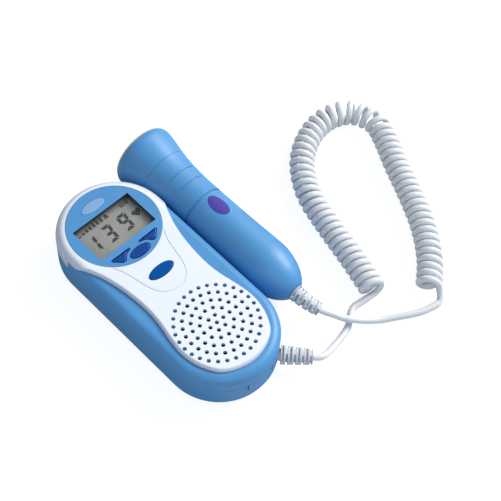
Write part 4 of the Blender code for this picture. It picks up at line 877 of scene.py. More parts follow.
def figure_part(x, part):
    """One dark part of a slanted figure, with its ends cut to meet its neighbours."""
    width = FIGURE_HALF_WIDTH
    height = FIGURE_HALF_HEIGHT
    thick = PART_THICK
    gap = PART_GAP
    corner = PART_GAP + CORNER_CUT
    tip = width - thick / 2 - gap
    inner = width - thick - gap
    shapes = {
        "top": [(corner - width, height), (-inner, height - thick), (inner, height - thick),
                (width - corner, height)],
        "right": [(width, height - corner), (width - thick, height - thick - gap),
                  (width - thick, thick / 2 + gap), (width - thick / 2, gap), (width, thick / 2 + gap)],
        "middle": [(-tip, 0.0), (-inner, -thick / 2), (inner, -thick / 2), (tip, 0.0), (inner, thick / 2),
                   (-inner, thick / 2)],
    }
    kind, side, end = PART_KINDS[part]
    return [(x + side * px + SLANT * end * py, FIGURE_Y + end * py) for px, py in shapes[kind]]


def make_figures():
    bm = bmesh.new()
    for x, parts in zip(FIGURE_XS, FIGURE_PARTS):
        for part in parts:
            add_mark(bm, figure_part(x, part))
    return finished(solid("display_figures", bm), mark_finish, "unit", "lcd")


make_figures()

# %% Rising bars
BARS = 7
BAR_FIRST = Vector((-0.0152, 0.0450, PANEL_TOP))
BAR_PITCH = 0.0023
BAR_WIDTH = 0.00155
BAR_LOW_HEIGHT = 0.0007
BAR_GROWTH = 0.0006


def make_bars():
    tree, given = new_tree("rising_bars", ("Bars", "Int"), ("Pitch", "Float"), ("Width", "Float"),
                           ("First Height", "Float"), ("Growth", "Float"), ("Thickness", "Float"),
                           ("Start", "Vector"), ("Material", "Material"))
    step = add(tree, "ShaderNodeCombineXYZ", {"X": given["Pitch"]})
    line = add(tree, "GeometryNodeMeshLine", {"Count": given["Bars"], "Start Location": given["Start"],
                                              "Offset": step})
    index = add(tree, "GeometryNodeInputIndex")
    growth = math_node(tree, "MULTIPLY", index, given["Growth"])
    height = math_node(tree, "ADD", growth, given["First Height"])
    lift = add(tree, "ShaderNodeCombineXYZ", {"Y": math_node(tree, "DIVIDE", height, 2.0)})
    raised = add(tree, "GeometryNodeSetPosition", {"Geometry": line, "Offset": lift})
    size = add(tree, "ShaderNodeCombineXYZ", {"X": given["Width"], "Y": height, "Z": given["Thickness"]})
    cube = add(tree, "GeometryNodeMeshCube", {"Size": (1.0, 1.0, 1.0)})
    bars = add(tree, "GeometryNodeInstanceOnPoints", {"Points": raised, "Instance": cube, "Scale": size})
    tree_end(tree, [bars], given["Material"])
    bars = grow_new("display_bars", tree, bars=BARS, pitch=BAR_PITCH, width=BAR_WIDTH,
                    first_height=BAR_LOW_HEIGHT, growth=BAR_GROWTH, thickness=2 * MARK_THICK, start=BAR_FIRST,
                    material=mark_finish)
    return finished(bars, mark_finish, "unit", "lcd")


make_bars()

# %% Heart, bell and charge mark
HEART_CENTRE = (0.0146, 0.0379)
HEART_SIZE = 0.00016
BELL_CENTRE = (0.0018, 0.0462)
BELL_SIZE = 0.0013
CHARGE_LOW = (0.0108, 0.0448)
CHARGE_HIGH = (0.0156, 0.0473)
CHARGE_LINE = 0.0005
CHARGE_INSET = 0.0008
CHARGE_BARS = 3
CHARGE_BAR_SHARE = 0.7
# The bell's corners, as multiples of its size
BELL_SHARES = ((-1, -0.9), (1, -0.9), (0.75, -0.2), (0.5, 0.8), (0, 1.1), (-0.5, 0.8), (-0.75, -0.2))


def make_symbols():
    bm = bmesh.new()
    heart = []
    for angle in even_angles(40):
        x = 16 * math.sin(angle) ** 3
        y = 13 * math.cos(angle) - 5 * math.cos(2 * angle) - 2 * math.cos(3 * angle) - math.cos(4 * angle)
        heart.append((HEART_CENTRE[0] - HEART_SIZE * x, HEART_CENTRE[1] + HEART_SIZE * y))
    add_mark(bm, heart)
    add_mark(bm, [(BELL_CENTRE[0] + BELL_SIZE * x, BELL_CENTRE[1] + BELL_SIZE * y) for x, y in BELL_SHARES])
    left, low = CHARGE_LOW
    right, high = CHARGE_HIGH
    bars = [(left, low, right, low + CHARGE_LINE), (left, high - CHARGE_LINE, right, high)]
    bars += [(left, low + CHARGE_LINE, left + CHARGE_LINE, high - CHARGE_LINE),
             (right - CHARGE_LINE, low + CHARGE_LINE, right, high - CHARGE_LINE)]
    pitch = (right - left) / (CHARGE_BARS + 1)
    for i in range(CHARGE_BARS):
        x = left + CHARGE_INSET + i * pitch
        bars.append((x, low + CHARGE_INSET, x + pitch * CHARGE_BAR_SHARE, high - CHARGE_INSET))
    for x_low, y_low, x_high, y_high in bars:
        add_mark(bm, [(x_low, y_low), (x_high, y_low), (x_high, y_high), (x_low, y_high)])
    return finished(solid("display_symbols", bm), mark_finish, "unit", "lcd")


make_symbols()

# %% [markdown]
# ## Buttons
#
# Each cap has a rounded rim that catches the light, a flange that the cover
# holds down and a stem over its switch.

# %% Buttons
BUTTON_PROUD = 0.0006
BUTTON_EDGE = 0.0006
FLANGE_Z = 0.0238
STEM_Z = 0.0232
STEM_RADIUS = 0.0014


def make_button(name, x, y, outline, finish, slot):
    button = block(name, outline, FLANGE_Z + GAP, FACE_Z + BUTTON_PROUD, 0.0, BUTTON_EDGE, 5)
    join(button, block("flange", outset(outline, FLANGE_WIDTH), FLANGE_Z, PLATE_Z))
    join(button, pillars("stem", [(x, y)], STEM_RADIUS, STEM_Z, FLANGE_Z + 2 * GAP))
    button.name = name + "_cap"
    return finished(button, finish, name, slot, name + "_button")


make_button("left_arrow", -ARROW_X, ARROW_Y, arrow_outline(-1), button_finish, "button")
make_button("right_arrow", ARROW_X, ARROW_Y, arrow_outline(1), button_finish, "button")
make_button("mode", 0.0, MODE_Y, oval(0.0, MODE_Y, MODE_HALF_WIDTH, MODE_HALF_HEIGHT), button_finish,
            "button")
make_button("power", 0.0, POWER_Y, oval(0.0, POWER_Y, POWER_HALF_WIDTH, POWER_HALF_HEIGHT), power_finish,
            "power_button")

# %% [markdown]
# ## The probe
#
# The probe is turned: every section across its axis is round. Its outline is a
# short table of places and radii, and a smooth curve runs through them. The
# shells are built upright and then laid down on the table by one matrix.

# %% Probe outline and place
PROBE_LENGTH = 0.1099
PROBE_TAIL = -0.0436
PROBE_FRONT = PROBE_TAIL + PROBE_LENGTH
PROBE_HEAD_RADIUS = 0.0176
PROBE_WALL = 0.0018
PROBE_TILT = math.radians(2.5202)
PROBE_YAW = math.radians(1.15)
PROBE_CENTRE = Vector((0.0442, 0.0, 0.014848))
PROBE_TURN = Euler((PROBE_TILT - math.pi / 2, 0.0, PROBE_YAW)).to_matrix().to_4x4()
PROBE_PLACE = Matrix.Translation(PROBE_CENTRE) @ PROBE_TURN
PROBE_STEP = 0.0008
# Places along the probe and radii there, as shares of its length and head radius
PROBE_SHARES = (
    (0.0000, 0.262), (0.0064, 0.324), (0.0237, 0.432), (0.0500, 0.546), (0.0783, 0.636),
    (0.1146, 0.712), (0.1510, 0.764), (0.1980, 0.787), (0.3140, 0.767), (0.4740, 0.747),
    (0.5814, 0.739), (0.6515, 0.740), (0.7170, 0.754), (0.7880, 0.790), (0.8450, 0.844),
    (0.9040, 0.923), (0.9430, 0.972), (0.9730, 1.000), (0.9900, 0.983), (1.0000, 0.952),
)
PROBE_CURVE = smooth_line([(PROBE_TAIL + PROBE_LENGTH * place, PROBE_HEAD_RADIUS * radius)
                           for place, radius in PROBE_SHARES], PROBE_STEP)
TURN_STEPS = 96


def probe_radius(place):
    return float(np.interp(place, PROBE_CURVE[:, 0], PROBE_CURVE[:, 1]))


def probe_outline(low, high):
    """Radius and place along the probe, from high to low."""
    inside = [place for place in PROBE_CURVE[::-1, 0] if low + GAP < place < high - GAP]
    return [(probe_radius(place), place) for place in [high, *inside, low]]


def turned(name, profile, ring=True):
    """Turn a closed profile, or one that starts and ends on the axis."""
    angles = even_angles(TURN_STEPS)
    bm = bmesh.new()
    rings = []
    for radius, place in profile:
        if radius == 0.0:
            rings.append([bm.verts.new((0.0, 0.0, place))] * TURN_STEPS)
        else:
            rings.append([bm.verts.new((radius * math.cos(a), radius * math.sin(a), place)) for a in angles])
    pairs = list(zip(rings, rings[1:]))
    if ring:
        pairs.append((rings[-1], rings[0]))
    for one, two in pairs:
        for i in range(TURN_STEPS):
            bm.faces.new(dict.fromkeys((one[i - 1], one[i], two[i], two[i - 1])))
    return solid(name, bm)


def on_probe(obj):
    obj.data.transform(PROBE_PLACE)
    return obj


# %% [markdown]
# The head, the neck and the grip are three shells. A wide groove marks where the
# grip starts, and two short grooves across the top of the neck guide the thumb.
# The badge and its recess are ovals wrapped onto the grip's round.

# %% Probe shells
HEAD_SEAM = 0.0493
GRIP_SEAM = 0.0203
SEAM_GROOVE_DEPTH = 0.0008
SEAM_GROOVE_WIDTH = 0.0007
EDGE_EASE = 0.0001
SEAL_THICK = 0.0010
FACE_PLUG_RADIUS = 0.0146
FACE_PLUG_LENGTH = 0.0020
FACE_PLUG_END = PROBE_FRONT + GAP - FACE_PLUG_LENGTH
HEAD_BORE = 0.0136
TAIL_WALL = 0.0020
SHORT_GROOVES = (0.0388, 0.0315)
SHORT_GROOVE_WIDTH = 0.0004
SHORT_GROOVE_DEPTH = 0.0004
SHORT_GROOVE_ANGLE = math.radians(82.5)
SHORT_GROOVE_HALF_SPAN = math.radians(35.5)
PROBE_BADGE_PLACE = 0.0121
PROBE_BADGE_ANGLE = math.radians(83.5)
PROBE_BADGE_HALF_LENGTH = 0.0066
PROBE_BADGE_HALF_WIDTH = 0.0040
PROBE_BADGE_THICK = 0.0005


def short_groove(place):
    """A cutter: a stretch of ring that dips into the neck's top."""
    radius = probe_radius(place)
    bm = bmesh.new()
    sections = []
    start = -SHORT_GROOVE_ANGLE - SHORT_GROOVE_HALF_SPAN
    for angle in np.linspace(start, start + 2 * SHORT_GROOVE_HALF_SPAN, 40):
        corners = []
        for reach, side in ((-SHORT_GROOVE_DEPTH, -1), (OVERRUN, -1), (OVERRUN, 1), (-SHORT_GROOVE_DEPTH, 1)):
            r = radius + reach
            corners.append(bm.verts.new((r * math.cos(angle), r * math.sin(angle),
                                         place + side * SHORT_GROOVE_WIDTH / 2)))
        sections.append(corners)
    loft(bm, sections)
    return solid("short_groove", bm)


def wrapped_oval(name, margin, layers, rings=6):
    """An oval plate wrapped onto the grip. A layer is an inset and a height
    over the grip's surface."""
    bm = bmesh.new()

    def ring_at(share, inset, height):
        ring = []
        for angle in even_angles(64):
            across = (PROBE_BADGE_HALF_WIDTH + margin - inset) * share * math.cos(angle)
            place = PROBE_BADGE_PLACE + (PROBE_BADGE_HALF_LENGTH + margin - inset) * share * math.sin(angle)
            radius = probe_radius(place)
            around = across / radius - PROBE_BADGE_ANGLE
            radius += height
            ring.append(bm.verts.new((radius * math.cos(around), radius * math.sin(around), place)))
        return ring

    shares = np.linspace(0.0, 1.0, rings + 1)[1:-1]
    loops = [ring_at(share, *layers[0]) for share in shares]
    loops += [ring_at(1.0, inset, height) for inset, height in layers]
    loops += [ring_at(share, *layers[-1]) for share in shares[::-1]]
    loft(bm, loops)
    return solid(name, bm)


def eased(outline):
    """The outline with its first and last edge eased."""
    (r_high, high), (r_low, low) = outline[0], outline[-1]
    middle = [(r, p) for r, p in outline[1:-1] if low + EDGE_EASE < p < high - EDGE_EASE]
    return ([(r_high - EDGE_EASE, high), (r_high, high - EDGE_EASE)] + middle
            + [(r_low, low + EDGE_EASE), (r_low - EDGE_EASE, low)])


def make_probe_shells():
    head_low = HEAD_SEAM + FINE_GAP / 2
    neck_high = HEAD_SEAM - FINE_GAP / 2
    seat = FACE_PLUG_END - 2 * GAP - SEAL_THICK
    face_bore = FACE_PLUG_RADIUS + GAP
    inner = probe_radius(head_low) - PROBE_WALL
    profile = [(face_bore, PROBE_FRONT)] + eased(probe_outline(head_low, PROBE_FRONT))
    profile += [(inner, head_low), (HEAD_BORE, head_low + PROBE_WALL), (HEAD_BORE, seat), (face_bore, seat)]
    head = on_probe(turned("probe_head", profile))
    finished(head, housing_finish, "probe", "housing", "probe_head_shell")

    neck_low = GRIP_SEAM + GAP / 2
    outer = eased(probe_outline(neck_low, neck_high))
    grip_radius = probe_radius(neck_low)
    groove = grip_radius - SEAM_GROOVE_DEPTH
    bore = inner - GAP
    profile = [(bore, neck_high)] + outer[:-2]
    profile += [(grip_radius, neck_low + 2 * SEAM_GROOVE_WIDTH), (groove, neck_low + SEAM_GROOVE_WIDTH),
                (groove, neck_low), (grip_radius - PROBE_WALL, neck_low)]
    profile += [(radius - PROBE_WALL, place) for radius, place in outer[-4:3:-1]]
    neck = turned("probe_neck", profile)
    for place in SHORT_GROOVES:
        cut(neck, short_groove(place))
    finished(on_probe(neck), housing_finish, "probe", "housing", "probe_neck_shell")

    grip_high = GRIP_SEAM - GAP / 2
    outer = eased(probe_outline(PROBE_TAIL, grip_high))
    hole = RELIEF_NECK + GAP
    tail_inner = PROBE_TAIL + TAIL_WALL
    profile = outer + [(hole, PROBE_TAIL), (hole, tail_inner)]
    profile += [(radius - PROBE_WALL, place) for radius, place in probe_outline(tail_inner, grip_high)[::-1]]
    grip = turned("probe_handle", profile)
    cut(grip, wrapped_oval("recess", FINE_GAP, ((0.0, -PROBE_BADGE_THICK), (0.0, OVERRUN))))
    finished(on_probe(grip), housing_finish, "probe", "housing", "probe_grip")
    edge = PROBE_BADGE_THICK / 2
    layers = [(0.0, GAP - PROBE_BADGE_THICK), (0.0, BADGE_PROUD - edge / 2), (edge / 2, BADGE_PROUD)]
    badge = on_probe(wrapped_oval("probe_oval", 0.0, layers))
    return finished(badge, purple_badge_finish, "probe", "purple_badge", "probe_badge")


make_probe_shells()

# %% [markdown]
# The transducer face is a pale disc with a soft crown. It is what touches the
# skin, so its rim has no edge.

# %% Transducer face
FACE_CAP_RADIUS = 0.0163
FACE_CAP_THICK = 0.0014


def make_transducer_face():
    low = PROBE_FRONT + GAP
    top = low + FACE_CAP_THICK
    rim = FACE_CAP_RADIUS - FACE_PLUG_RADIUS
    profile = [(0.0, top)]
    for angle in np.linspace(math.pi / 2, 0.0, 11):
        profile.append((FACE_PLUG_RADIUS + rim * math.cos(angle), low + FACE_CAP_THICK * math.sin(angle)))
    profile += [(FACE_PLUG_RADIUS, low), (FACE_PLUG_RADIUS, FACE_PLUG_END), (0.0, FACE_PLUG_END)]
    face = on_probe(turned("probe_face", profile, ring=False))
    return finished(face, face_finish, "probe", "face", "transducer_face")


make_transducer_face()

# %% [markdown]
# ## Strain reliefs
#
# A strain relief is a soft sleeve of ribs that lets the lead bend gently. Its
# tree follows a line: the radius rises and falls along it to make the ribs, and
# small bridges join one rib to the next, each a quarter turn from the last.

# %% Strain reliefs
RELIEF_RIBS = 9
RELIEF_CORE = 0.0026
STEPS_TO_A_RIB = 16.0
# The wave's values between which the ribs rise
RIB_FOOT = -0.75
RIB_CREST = -0.15
BRIDGE_WIDTH = 0.0030
# A bridge's reach across the sleeve in rib radii, and its length in rib pitches
BRIDGE_REACH = 1.86
BRIDGE_SHARE = 0.6


def relief_tree():
    tree, given = new_tree("relief_ribs", ("Ribs", "Int"), ("Root", "Float"), ("Tip", "Float"),
                           ("Core", "Float"), ("Bridge Width", "Float"), ("Bridge Length", "Float"),
                           ("Material", "Material"))
    line = add(tree, "GeometryNodeMeshToCurve", {"Mesh": given["Geometry"]})
    gaps = math_node(tree, "SUBTRACT", given["Ribs"], 1.0)
    count = math_node(tree, "MULTIPLY", gaps, STEPS_TO_A_RIB)
    fine = add(tree, "GeometryNodeResampleCurve", {"Curve": line, "Count": count})
    share = add(tree, "GeometryNodeSplineParameter")
    turns = math_node(tree, "MULTIPLY", math_node(tree, "MULTIPLY", share, gaps), 2 * math.pi)
    wave = math_node(tree, "COSINE", turns)
    crest = add(tree, "ShaderNodeMapRange", {"Value": wave, "From Min": RIB_FOOT, "From Max": RIB_CREST},
                interpolation_type="SMOOTHSTEP")
    outer = add(tree, "ShaderNodeMapRange", {"Value": share, "To Min": given["Root"],
                                             "To Max": given["Tip"]})
    rise = math_node(tree, "SUBTRACT", outer, given["Core"])
    radius = math_node(tree, "ADD", given["Core"], math_node(tree, "MULTIPLY", crest, rise))
    circle = add(tree, "GeometryNodeCurvePrimitiveCircle", {"Resolution": 32, "Radius": 1.0})
    sleeve = add(tree, "GeometryNodeCurveToMesh", {"Curve": fine, "Profile Curve": circle, "Scale": radius,
                                                   "Fill Caps": True})
    half_gap = math_node(tree, "DIVIDE", 0.5, gaps)
    middle = add(tree, "GeometryNodeTrimCurve", {"Curve": line, "Start": half_gap,
                                                 "End": math_node(tree, "SUBTRACT", 1.0, half_gap)})
    places = add(tree, "GeometryNodeCurveToPoints", {"Curve": middle, "Count": gaps}).node.outputs
    index = add(tree, "GeometryNodeInputIndex")
    width = add(tree, "ShaderNodeMapRange", {"Value": index, "From Max": gaps, "To Min": given["Root"],
                                             "To Max": given["Tip"]})
    size = add(tree, "ShaderNodeCombineXYZ", {"X": math_node(tree, "MULTIPLY", width, BRIDGE_REACH),
                                              "Y": given["Bridge Width"], "Z": given["Bridge Length"]})
    cube = add(tree, "GeometryNodeMeshCube", {"Size": (1.0, 1.0, 1.0)})
    bridges = add(tree, "GeometryNodeInstanceOnPoints",
                  {"Points": places["Points"], "Instance": cube, "Rotation": places["Rotation"],
                   "Scale": size})
    quarter = add(tree, "ShaderNodeCombineXYZ", {"Z": math_node(tree, "MULTIPLY", index, math.pi / 2)})
    turned_bridges = add(tree, "GeometryNodeRotateInstances", {"Instances": bridges, "Rotation": quarter})
    tree_end(tree, [sleeve, turned_bridges], given["Material"])
    return tree


RELIEF_TREE = relief_tree()


def together(target, *others):
    bm = bmesh.new()
    bm.from_mesh(target.data)
    for other in others:
        bm.from_mesh(other.data)
        bpy.data.objects.remove(other)
    bm.to_mesh(target.data)
    bm.free()
    return target


def make_relief(name, line, neck, flange, root, tip, body, node):
    """The line runs along the ribs. The neck is its start, its way inwards and the
    length through the wall; the flange is a radius and a thickness."""
    mesh = bpy.data.meshes.new(name)
    mesh.from_pydata([tuple(p) for p in line], [(i, i + 1) for i in range(len(line) - 1)], [])
    bridge_length = length_of(line) / (RELIEF_RIBS - 1) * BRIDGE_SHARE
    relief = grow(stand(name, mesh), RELIEF_TREE, ribs=RELIEF_RIBS, root=root, tip=tip, core=RELIEF_CORE,
                  bridge_width=BRIDGE_WIDTH, bridge_length=bridge_length, material=relief_finish)
    start, inward, depth = neck
    radius, thick = flange
    end = start + inward * depth
    together(relief, frozen(tube("neck", [start - inward * thick, end], RELIEF_NECK, 6)),
             frozen(tube("flange", [end, end + inward * thick], radius, 6)))
    return finished(relief, relief_finish, body, "relief", node)


UNIT_RELIEF_START = 0.0019
UNIT_NECK_LENGTH = 0.0043
UNIT_FLANGE = (0.0040, 0.0010)
UNIT_RELIEF_LENGTH = 0.01735
UNIT_RIB_ROOT = 0.0049
UNIT_RIB_TIP = 0.0038
unit_relief_line = np.array([LEAD_ROOT + LEAD_HEADING * place
                             for place in np.linspace(UNIT_RELIEF_START, UNIT_RELIEF_LENGTH, 40)])
unit_neck = (Vector(unit_relief_line[0]), -LEAD_HEADING, UNIT_NECK_LENGTH)
unit_relief = make_relief("unit_relief", unit_relief_line, unit_neck, UNIT_FLANGE, UNIT_RIB_ROOT,
                          UNIT_RIB_TIP, "unit", "unit_strain_relief")

PROBE_RELIEF_LENGTH = 0.0142
PROBE_FLANGE = (0.0043, 0.0013)
PROBE_RIB_ROOT = 0.0045
PROBE_RIB_TIP = 0.0036
PROBE_RELIEF_TIP = Vector((0.0482, -0.0572, 0.0100))
relief_root = PROBE_PLACE @ Vector((0.0, 0.0, PROBE_TAIL))
relief_heading = -(PROBE_PLACE.to_3x3() @ Vector((0.0, 0.0, 1.0)))
relief_bend = PROBE_RELIEF_TIP - relief_root - relief_heading * PROBE_RELIEF_LENGTH
probe_relief_line = np.array([relief_root + relief_heading * (GAP + share * (PROBE_RELIEF_LENGTH - GAP))
                              + relief_bend * share**2 for share in np.linspace(0.0, 1.0, 40)])
probe_neck = (Vector(probe_relief_line[0]), -relief_heading, TAIL_WALL + 2 * GAP)
probe_relief = make_relief("probe_relief", probe_relief_line, probe_neck, PROBE_FLANGE, PROBE_RIB_ROOT,
                           PROBE_RIB_TIP, "probe", "probe_strain_relief")

# %% [markdown]
# ## The cord
#
# The cord runs from the unit to the probe: a short lead, fifty-odd curls, and a
# short lead again. The leads follow listed points. The curls wind
# left-handed round a smooth route on the table, and where that route bends they
# open, so that their inner sides keep an even gap.

# %% Cord
CORD_RADIUS = 0.00177
TABLE_GAP = 0.00005
CURL_RADIUS = 0.0051
CURL_COUNT = 56.75
CURL_POINTS = 16
CORD_STEP = 0.0016
UNIT_LEAD_ROUTE = (
    (0.0277, -0.0731, 0.0090), (0.0308, -0.0755, 0.0084), (0.0348, -0.0757, 0.0068),
    (0.0387, -0.0749, 0.0045), (0.0432, -0.0740, 0.0027), (0.0487, -0.0731, 0.0019),
    (0.0551, -0.0713, 0.0019), (0.0590, -0.0690, 0.0019), (0.0624, -0.0667, 0.0019),
    (0.0659, -0.0655, 0.0019), (0.0697, -0.0660, 0.0019), (0.0738, -0.0665, 0.0019),
)
CURL_ROUTE = (
    (0.0777, -0.0669), (0.0833, -0.0469), (0.0886, -0.0254), (0.0950, -0.0049),
    (0.1065, 0.0112), (0.1215, 0.0205), (0.1370, 0.0228), (0.1500, 0.0170), (0.1550, 0.0045),
    (0.1508, -0.0080), (0.1435, -0.0216), (0.1342, -0.0407), (0.1243, -0.0585),
    (0.1123, -0.0736), (0.0995, -0.0845),
)
PROBE_LEAD_ROUTE = (
    (0.1019, -0.0905, 0.0038), (0.0998, -0.0926, 0.0020), (0.0962, -0.0926, 0.0019),
    (0.0926, -0.0915, 0.0019), (0.0887, -0.0903, 0.0019), (0.0830, -0.0873, 0.0019),
    (0.0763, -0.0832, 0.0019), (0.0705, -0.0798, 0.0021), (0.0651, -0.0764, 0.0034),
    (0.0606, -0.0733, 0.0050), (0.0573, -0.0705, 0.0062), (0.0543, -0.0670, 0.0072),
    (0.0517, -0.0632, 0.0086), (0.0496, -0.0603, 0.0095), (0.0483, -0.0576, 0.0099),
)


def curl_points():
    centre = smooth_line(CURL_ROUTE, CURL_RADIUS / 20)
    along = np.gradient(centre, axis=0)
    along /= np.linalg.norm(along, axis=1)[:, None]
    step = np.linalg.norm(np.diff(centre, axis=0), axis=1)
    bend = np.linalg.norm(np.diff(along, axis=0), axis=1) / step
    bend = np.convolve(np.pad(bend, 10, mode="edge"), np.ones(21) / 21, mode="valid")
    phase = np.concatenate(([0.0], np.cumsum(step * (1 - CURL_RADIUS * bend))))
    phase *= 2 * math.pi * CURL_COUNT / phase[-1]
    wanted = np.linspace(0.0, phase[-1], round(CURL_COUNT * CURL_POINTS) + 1)
    x, y = (np.interp(wanted, phase, centre[:, k]) for k in (0, 1))
    along_x, along_y = (np.interp(wanted, phase, along[:, k]) for k in (0, 1))
    swing = CURL_RADIUS * np.sin(wanted)
    height = CURL_RADIUS + CORD_RADIUS + TABLE_GAP
    return np.column_stack((x + along_y * swing, y - along_x * swing, height - CURL_RADIUS * np.cos(wanted)))


route = np.vstack((UNIT_LEAD_ROUTE, curl_points(), PROBE_LEAD_ROUTE))
cord_line = smooth_line(route, CORD_STEP)

# %% [markdown]
# When the probe is lifted its lead has to come with it. So the cord is made in
# two lengths that meet flush where it lies flat behind the last curl. The curls
# stay on the table. The lead is a mesh of its own.

# %% Curls and probe lead
LEAD_SPLIT = (0.0962, -0.0926, 0.0019)
split = int(np.argmin(np.linalg.norm(cord_line - np.array(LEAD_SPLIT), axis=1)))
curls_line = cord_line[:split + 1]
lead_line = cord_line[split:]

cord = tube("cord", curls_line, CORD_RADIUS, 6)
cord.data.materials.append(cord_finish)
for spline in cord.data.splines:
    spline.use_smooth = True
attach(cord, "unit")
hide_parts("unit_lead", "curly_cord")

lead = frozen(tube("lead_to_probe", lead_line, CORD_RADIUS, 6))
lead.data.materials.clear()
lead.data.materials.append(cord_finish)
lead.data.shade_smooth()
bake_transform(lead)
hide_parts("probe_lead")
print("cord: %.2f m with its curls, %.3f m of lead" % (length_of(curls_line), length_of(lead_line)))

# %% [markdown]
# ## Pieces inside and below
#
# Four screws hold the shells together from below. One tree stands the same
# screw, with its crossed recess, on four points. The battery springs are cones
# of wire: a spiral whose radius shrinks as it rises.

# %% Screws
SCREW_RADIUS = 0.0012
SCREW_HEAD_Z = 0.0006
SCREW_TOP_Z = 0.0210
SCREW_POINT = 0.0006
CROSS_HALF_LENGTH = 0.0013
CROSS_HALF_WIDTH = 0.00028
CROSS_DEPTH = 0.0009


def make_screws():
    profile = [(0.0, SCREW_TOP_Z), (SCREW_RADIUS / 2, SCREW_TOP_Z), (SCREW_RADIUS, SCREW_TOP_Z - SCREW_POINT),
               (SCREW_RADIUS, SCREW_HEAD_TOP), (SCREW_HEAD_RADIUS, SCREW_HEAD_TOP),
               (SCREW_HEAD_RADIUS, SCREW_HEAD_Z + GAP), (SCREW_HEAD_RADIUS - GAP, SCREW_HEAD_Z),
               (0.0, SCREW_HEAD_Z)]
    screw = turned("screw", profile, ring=False)
    for x, y in ((CROSS_HALF_LENGTH, CROSS_HALF_WIDTH), (CROSS_HALF_WIDTH, CROSS_HALF_LENGTH)):
        cut(screw, box("cross", (-x, -y, 0.0), (x, y, SCREW_HEAD_Z + CROSS_DEPTH)))
    tree, given = new_tree("screw_set", ("Screw", "Object"), ("Material", "Material"))
    shape = add(tree, "GeometryNodeObjectInfo", {"Object": given["Screw"]}, output="Geometry")
    set_out = add(tree, "GeometryNodeInstanceOnPoints", {"Points": given["Geometry"], "Instance": shape})
    tree_end(tree, [set_out], given["Material"])
    mesh = bpy.data.meshes.new("screws")
    mesh.from_pydata([(x, y, 0.0) for x, y in SCREW_PLACES], [], [])
    screws = grow(stand("screws", mesh), tree, screw=screw, material=steel_finish)
    bpy.data.objects.remove(screw)
    return finished(screws, steel_finish, "unit", "steel", *["housing_screw_%d" % n for n in (1, 2, 3, 4)])


make_screws()

# %% Battery springs
SPRING_WIRE_RADIUS = 0.00025
SPRING_WIDE_RADIUS = 0.0034
SPRING_NARROW_RADIUS = 0.0024
SPRING_TURNS = 2.5


def make_spring(name, node, turn_x):
    low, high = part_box(node)
    tree, given = new_tree(name + "_tree", ("Turns", "Float"), ("Wide", "Float"), ("Narrow", "Float"),
                           ("Rise", "Float"), ("Wire", "Float"), ("Material", "Material"))
    coil = add(tree, "GeometryNodeCurveSpiral", {"Resolution": 32, "Rotations": given["Turns"],
                                                 "Start Radius": given["Wide"], "End Radius": given["Narrow"],
                                                 "Height": given["Rise"]})
    circle = add(tree, "GeometryNodeCurvePrimitiveCircle", {"Resolution": 12, "Radius": given["Wire"]})
    thread = add(tree, "GeometryNodeCurveToMesh", {"Curve": coil, "Profile Curve": circle, "Fill Caps": True})
    tree_end(tree, [thread], given["Material"])
    spring = grow_new(name, tree, turns=SPRING_TURNS, wide=SPRING_WIDE_RADIUS, narrow=SPRING_NARROW_RADIUS,
                      rise=high.y - low.y - 2 * SPRING_WIRE_RADIUS, wire=SPRING_WIRE_RADIUS,
                      material=steel_finish)
    middle = (low + high) / 2
    base_y = low.y + SPRING_WIRE_RADIUS if turn_x < 0 else high.y - SPRING_WIRE_RADIUS
    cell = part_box("battery_1")
    height = (cell[0].z + cell[1].z) / 2
    place = Matrix.Translation((middle.x, base_y, height)) @ Matrix.Rotation(turn_x, 4, "X")
    spring.data.transform(place)
    return finished(spring, steel_finish, "unit", "steel", node)


make_spring("near_spring", "battery_spring_1", -math.pi / 2)
make_spring("far_spring", "battery_spring_2", math.pi / 2)

# %% [markdown]
# The pieces that stay as packed get the finish that belongs to them.

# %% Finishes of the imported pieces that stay
STAYING = {
    "display_lens": lens_finish, "lcd_panel": panel_finish, "lcd_backlight": diffuser_finish,
    "lcd_connector": seal_finish, "circuit_board": board_finish, "probe_board": board_finish,
    "left_arrow_switch": dark_finish, "mode_switch": dark_finish, "right_arrow_switch": dark_finish,
    "power_switch": dark_finish, "speaker_gasket": seal_finish, "speaker_frame": dark_finish,
    "speaker_cone": paper_finish, "speaker_magnet": magnet_finish, "battery_1": cell_finish,
    "battery_2": cell_finish, "near_contact_strap": steel_finish, "positive_contact": steel_finish,
    "negative_contact": steel_finish, "head_seal": seal_finish, "transmit_crystal": ceramic_finish,
    "receive_crystal": ceramic_finish, "backing_block": backing_finish,
}
for name, finish in STAYING.items():
    for place in nodes[name].material_slots:
        place.material = finish
print("packed pieces with a finish:", len(STAYING))

# %% [markdown]
# ## Floor and light
#
# The picture is a cut-out on white. The floor shows white to the camera, yet it
# still takes the object's shadow, because half of what it shows is lit and half
# is its own. The world shows white to the camera and to mirrors. A large soft
# lamp stands to the right, a weaker one fills from the left, and the world gives
# the rest.


# %% Floor
FLOOR_SIZE = 6.0
FLOOR_COLOUR = (0.62, 0.63, 0.65, 1.0)
FLOOR_ROUGHNESS = 0.9
FLOOR_GLOW = 0.80
FLOOR_LIT = (0.5, 0.5, 0.5, 1.0)
FLOOR_MIRRORED = 0.0


def white_to_camera(tree, lit, shown, mirrored):
    """Mix: the first shader lights the scene, the second is what is seen.

    The last number says how much of the second one a mirror shows."""
    path = tree.nodes.new("ShaderNodeLightPath").outputs
    glossy = math_node(tree, "MULTIPLY", path["Is Glossy Ray"], mirrored)
    seen = math_node(tree, "MAXIMUM", path["Is Camera Ray"], glossy)
    seen = math_node(tree, "MAXIMUM", seen, path["Is Transmission Ray"])
    return add(tree, "ShaderNodeMixShader", {0: seen, 1: lit, 2: shown})


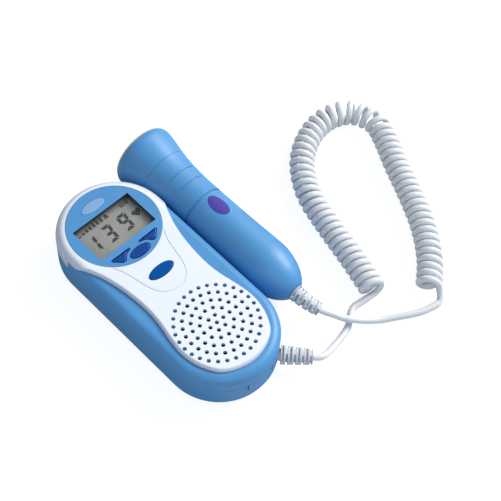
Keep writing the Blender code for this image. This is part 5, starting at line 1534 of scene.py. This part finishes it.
floor_bm = bmesh.new()
bmesh.ops.create_grid(floor_bm, x_segments=1, y_segments=1, size=FLOOR_SIZE)
bmesh.ops.translate(floor_bm, vec=(0.0, 0.0, -TABLE_GAP / 2), verts=floor_bm.verts)
floor = solid("floor", floor_bm)
floor_finish, floor_tree, floor_shader = new_finish("floor")
wire(floor_tree, floor_shader, {"Base Color": FLOOR_COLOUR, "Roughness": FLOOR_ROUGHNESS})
glow = add(floor_tree, "ShaderNodeEmission", {"Color": WHITE, "Strength": FLOOR_GLOW})
lit_floor = add(floor_tree, "ShaderNodeBsdfDiffuse", {"Color": FLOOR_LIT})
both = add(floor_tree, "ShaderNodeAddShader", {0: glow, 1: lit_floor})
floor_seen = white_to_camera(floor_tree, floor_shader.outputs[0], both, FLOOR_MIRRORED)
wire(floor_tree, floor_tree.nodes["Material Output"], {"Surface": floor_seen})
floor.data.materials.append(floor_finish)

# %% World and lamps
SKY_COLOUR = (0.92, 0.95, 1.0, 1.0)
SKY_STRENGTH = 0.30
SKY_MIRRORED = 1.0
LAMP_SIZE = 0.8
LAMP_TARGET = (0.05, 0.0, 0.0)

world = bpy.data.worlds.new("studio")
bpy.context.scene.world = world
world.use_nodes = True
world_tree = world.node_tree
sky = world_tree.nodes["Background"]
wire(world_tree, sky, {"Color": SKY_COLOUR, "Strength": SKY_STRENGTH})
white = add(world_tree, "ShaderNodeBackground", {"Color": WHITE})
world_seen = white_to_camera(world_tree, sky.outputs[0], white, SKY_MIRRORED)
wire(world_tree, world_tree.nodes["World Output"], {"Surface": world_seen})


def lamp(name, place, power, tone):
    data = bpy.data.lights.new(name, "AREA")
    data.size = LAMP_SIZE
    data.energy = power
    data.color = tone
    obj = bpy.data.objects.new(name, data)
    obj.location = place
    obj.rotation_euler = (Vector(LAMP_TARGET) - Vector(place)).to_track_quat("-Z", "Y").to_euler()
    bpy.context.scene.collection.objects.link(obj)


lamp("key", (1.43, -0.24, 1.15), 39.0, WHITE[:3])
lamp("fill", (-0.55, -0.55, 0.60), 2.8, (0.68, 0.87, 1.0))

bpy.context.scene.view_settings.view_transform = "Standard"
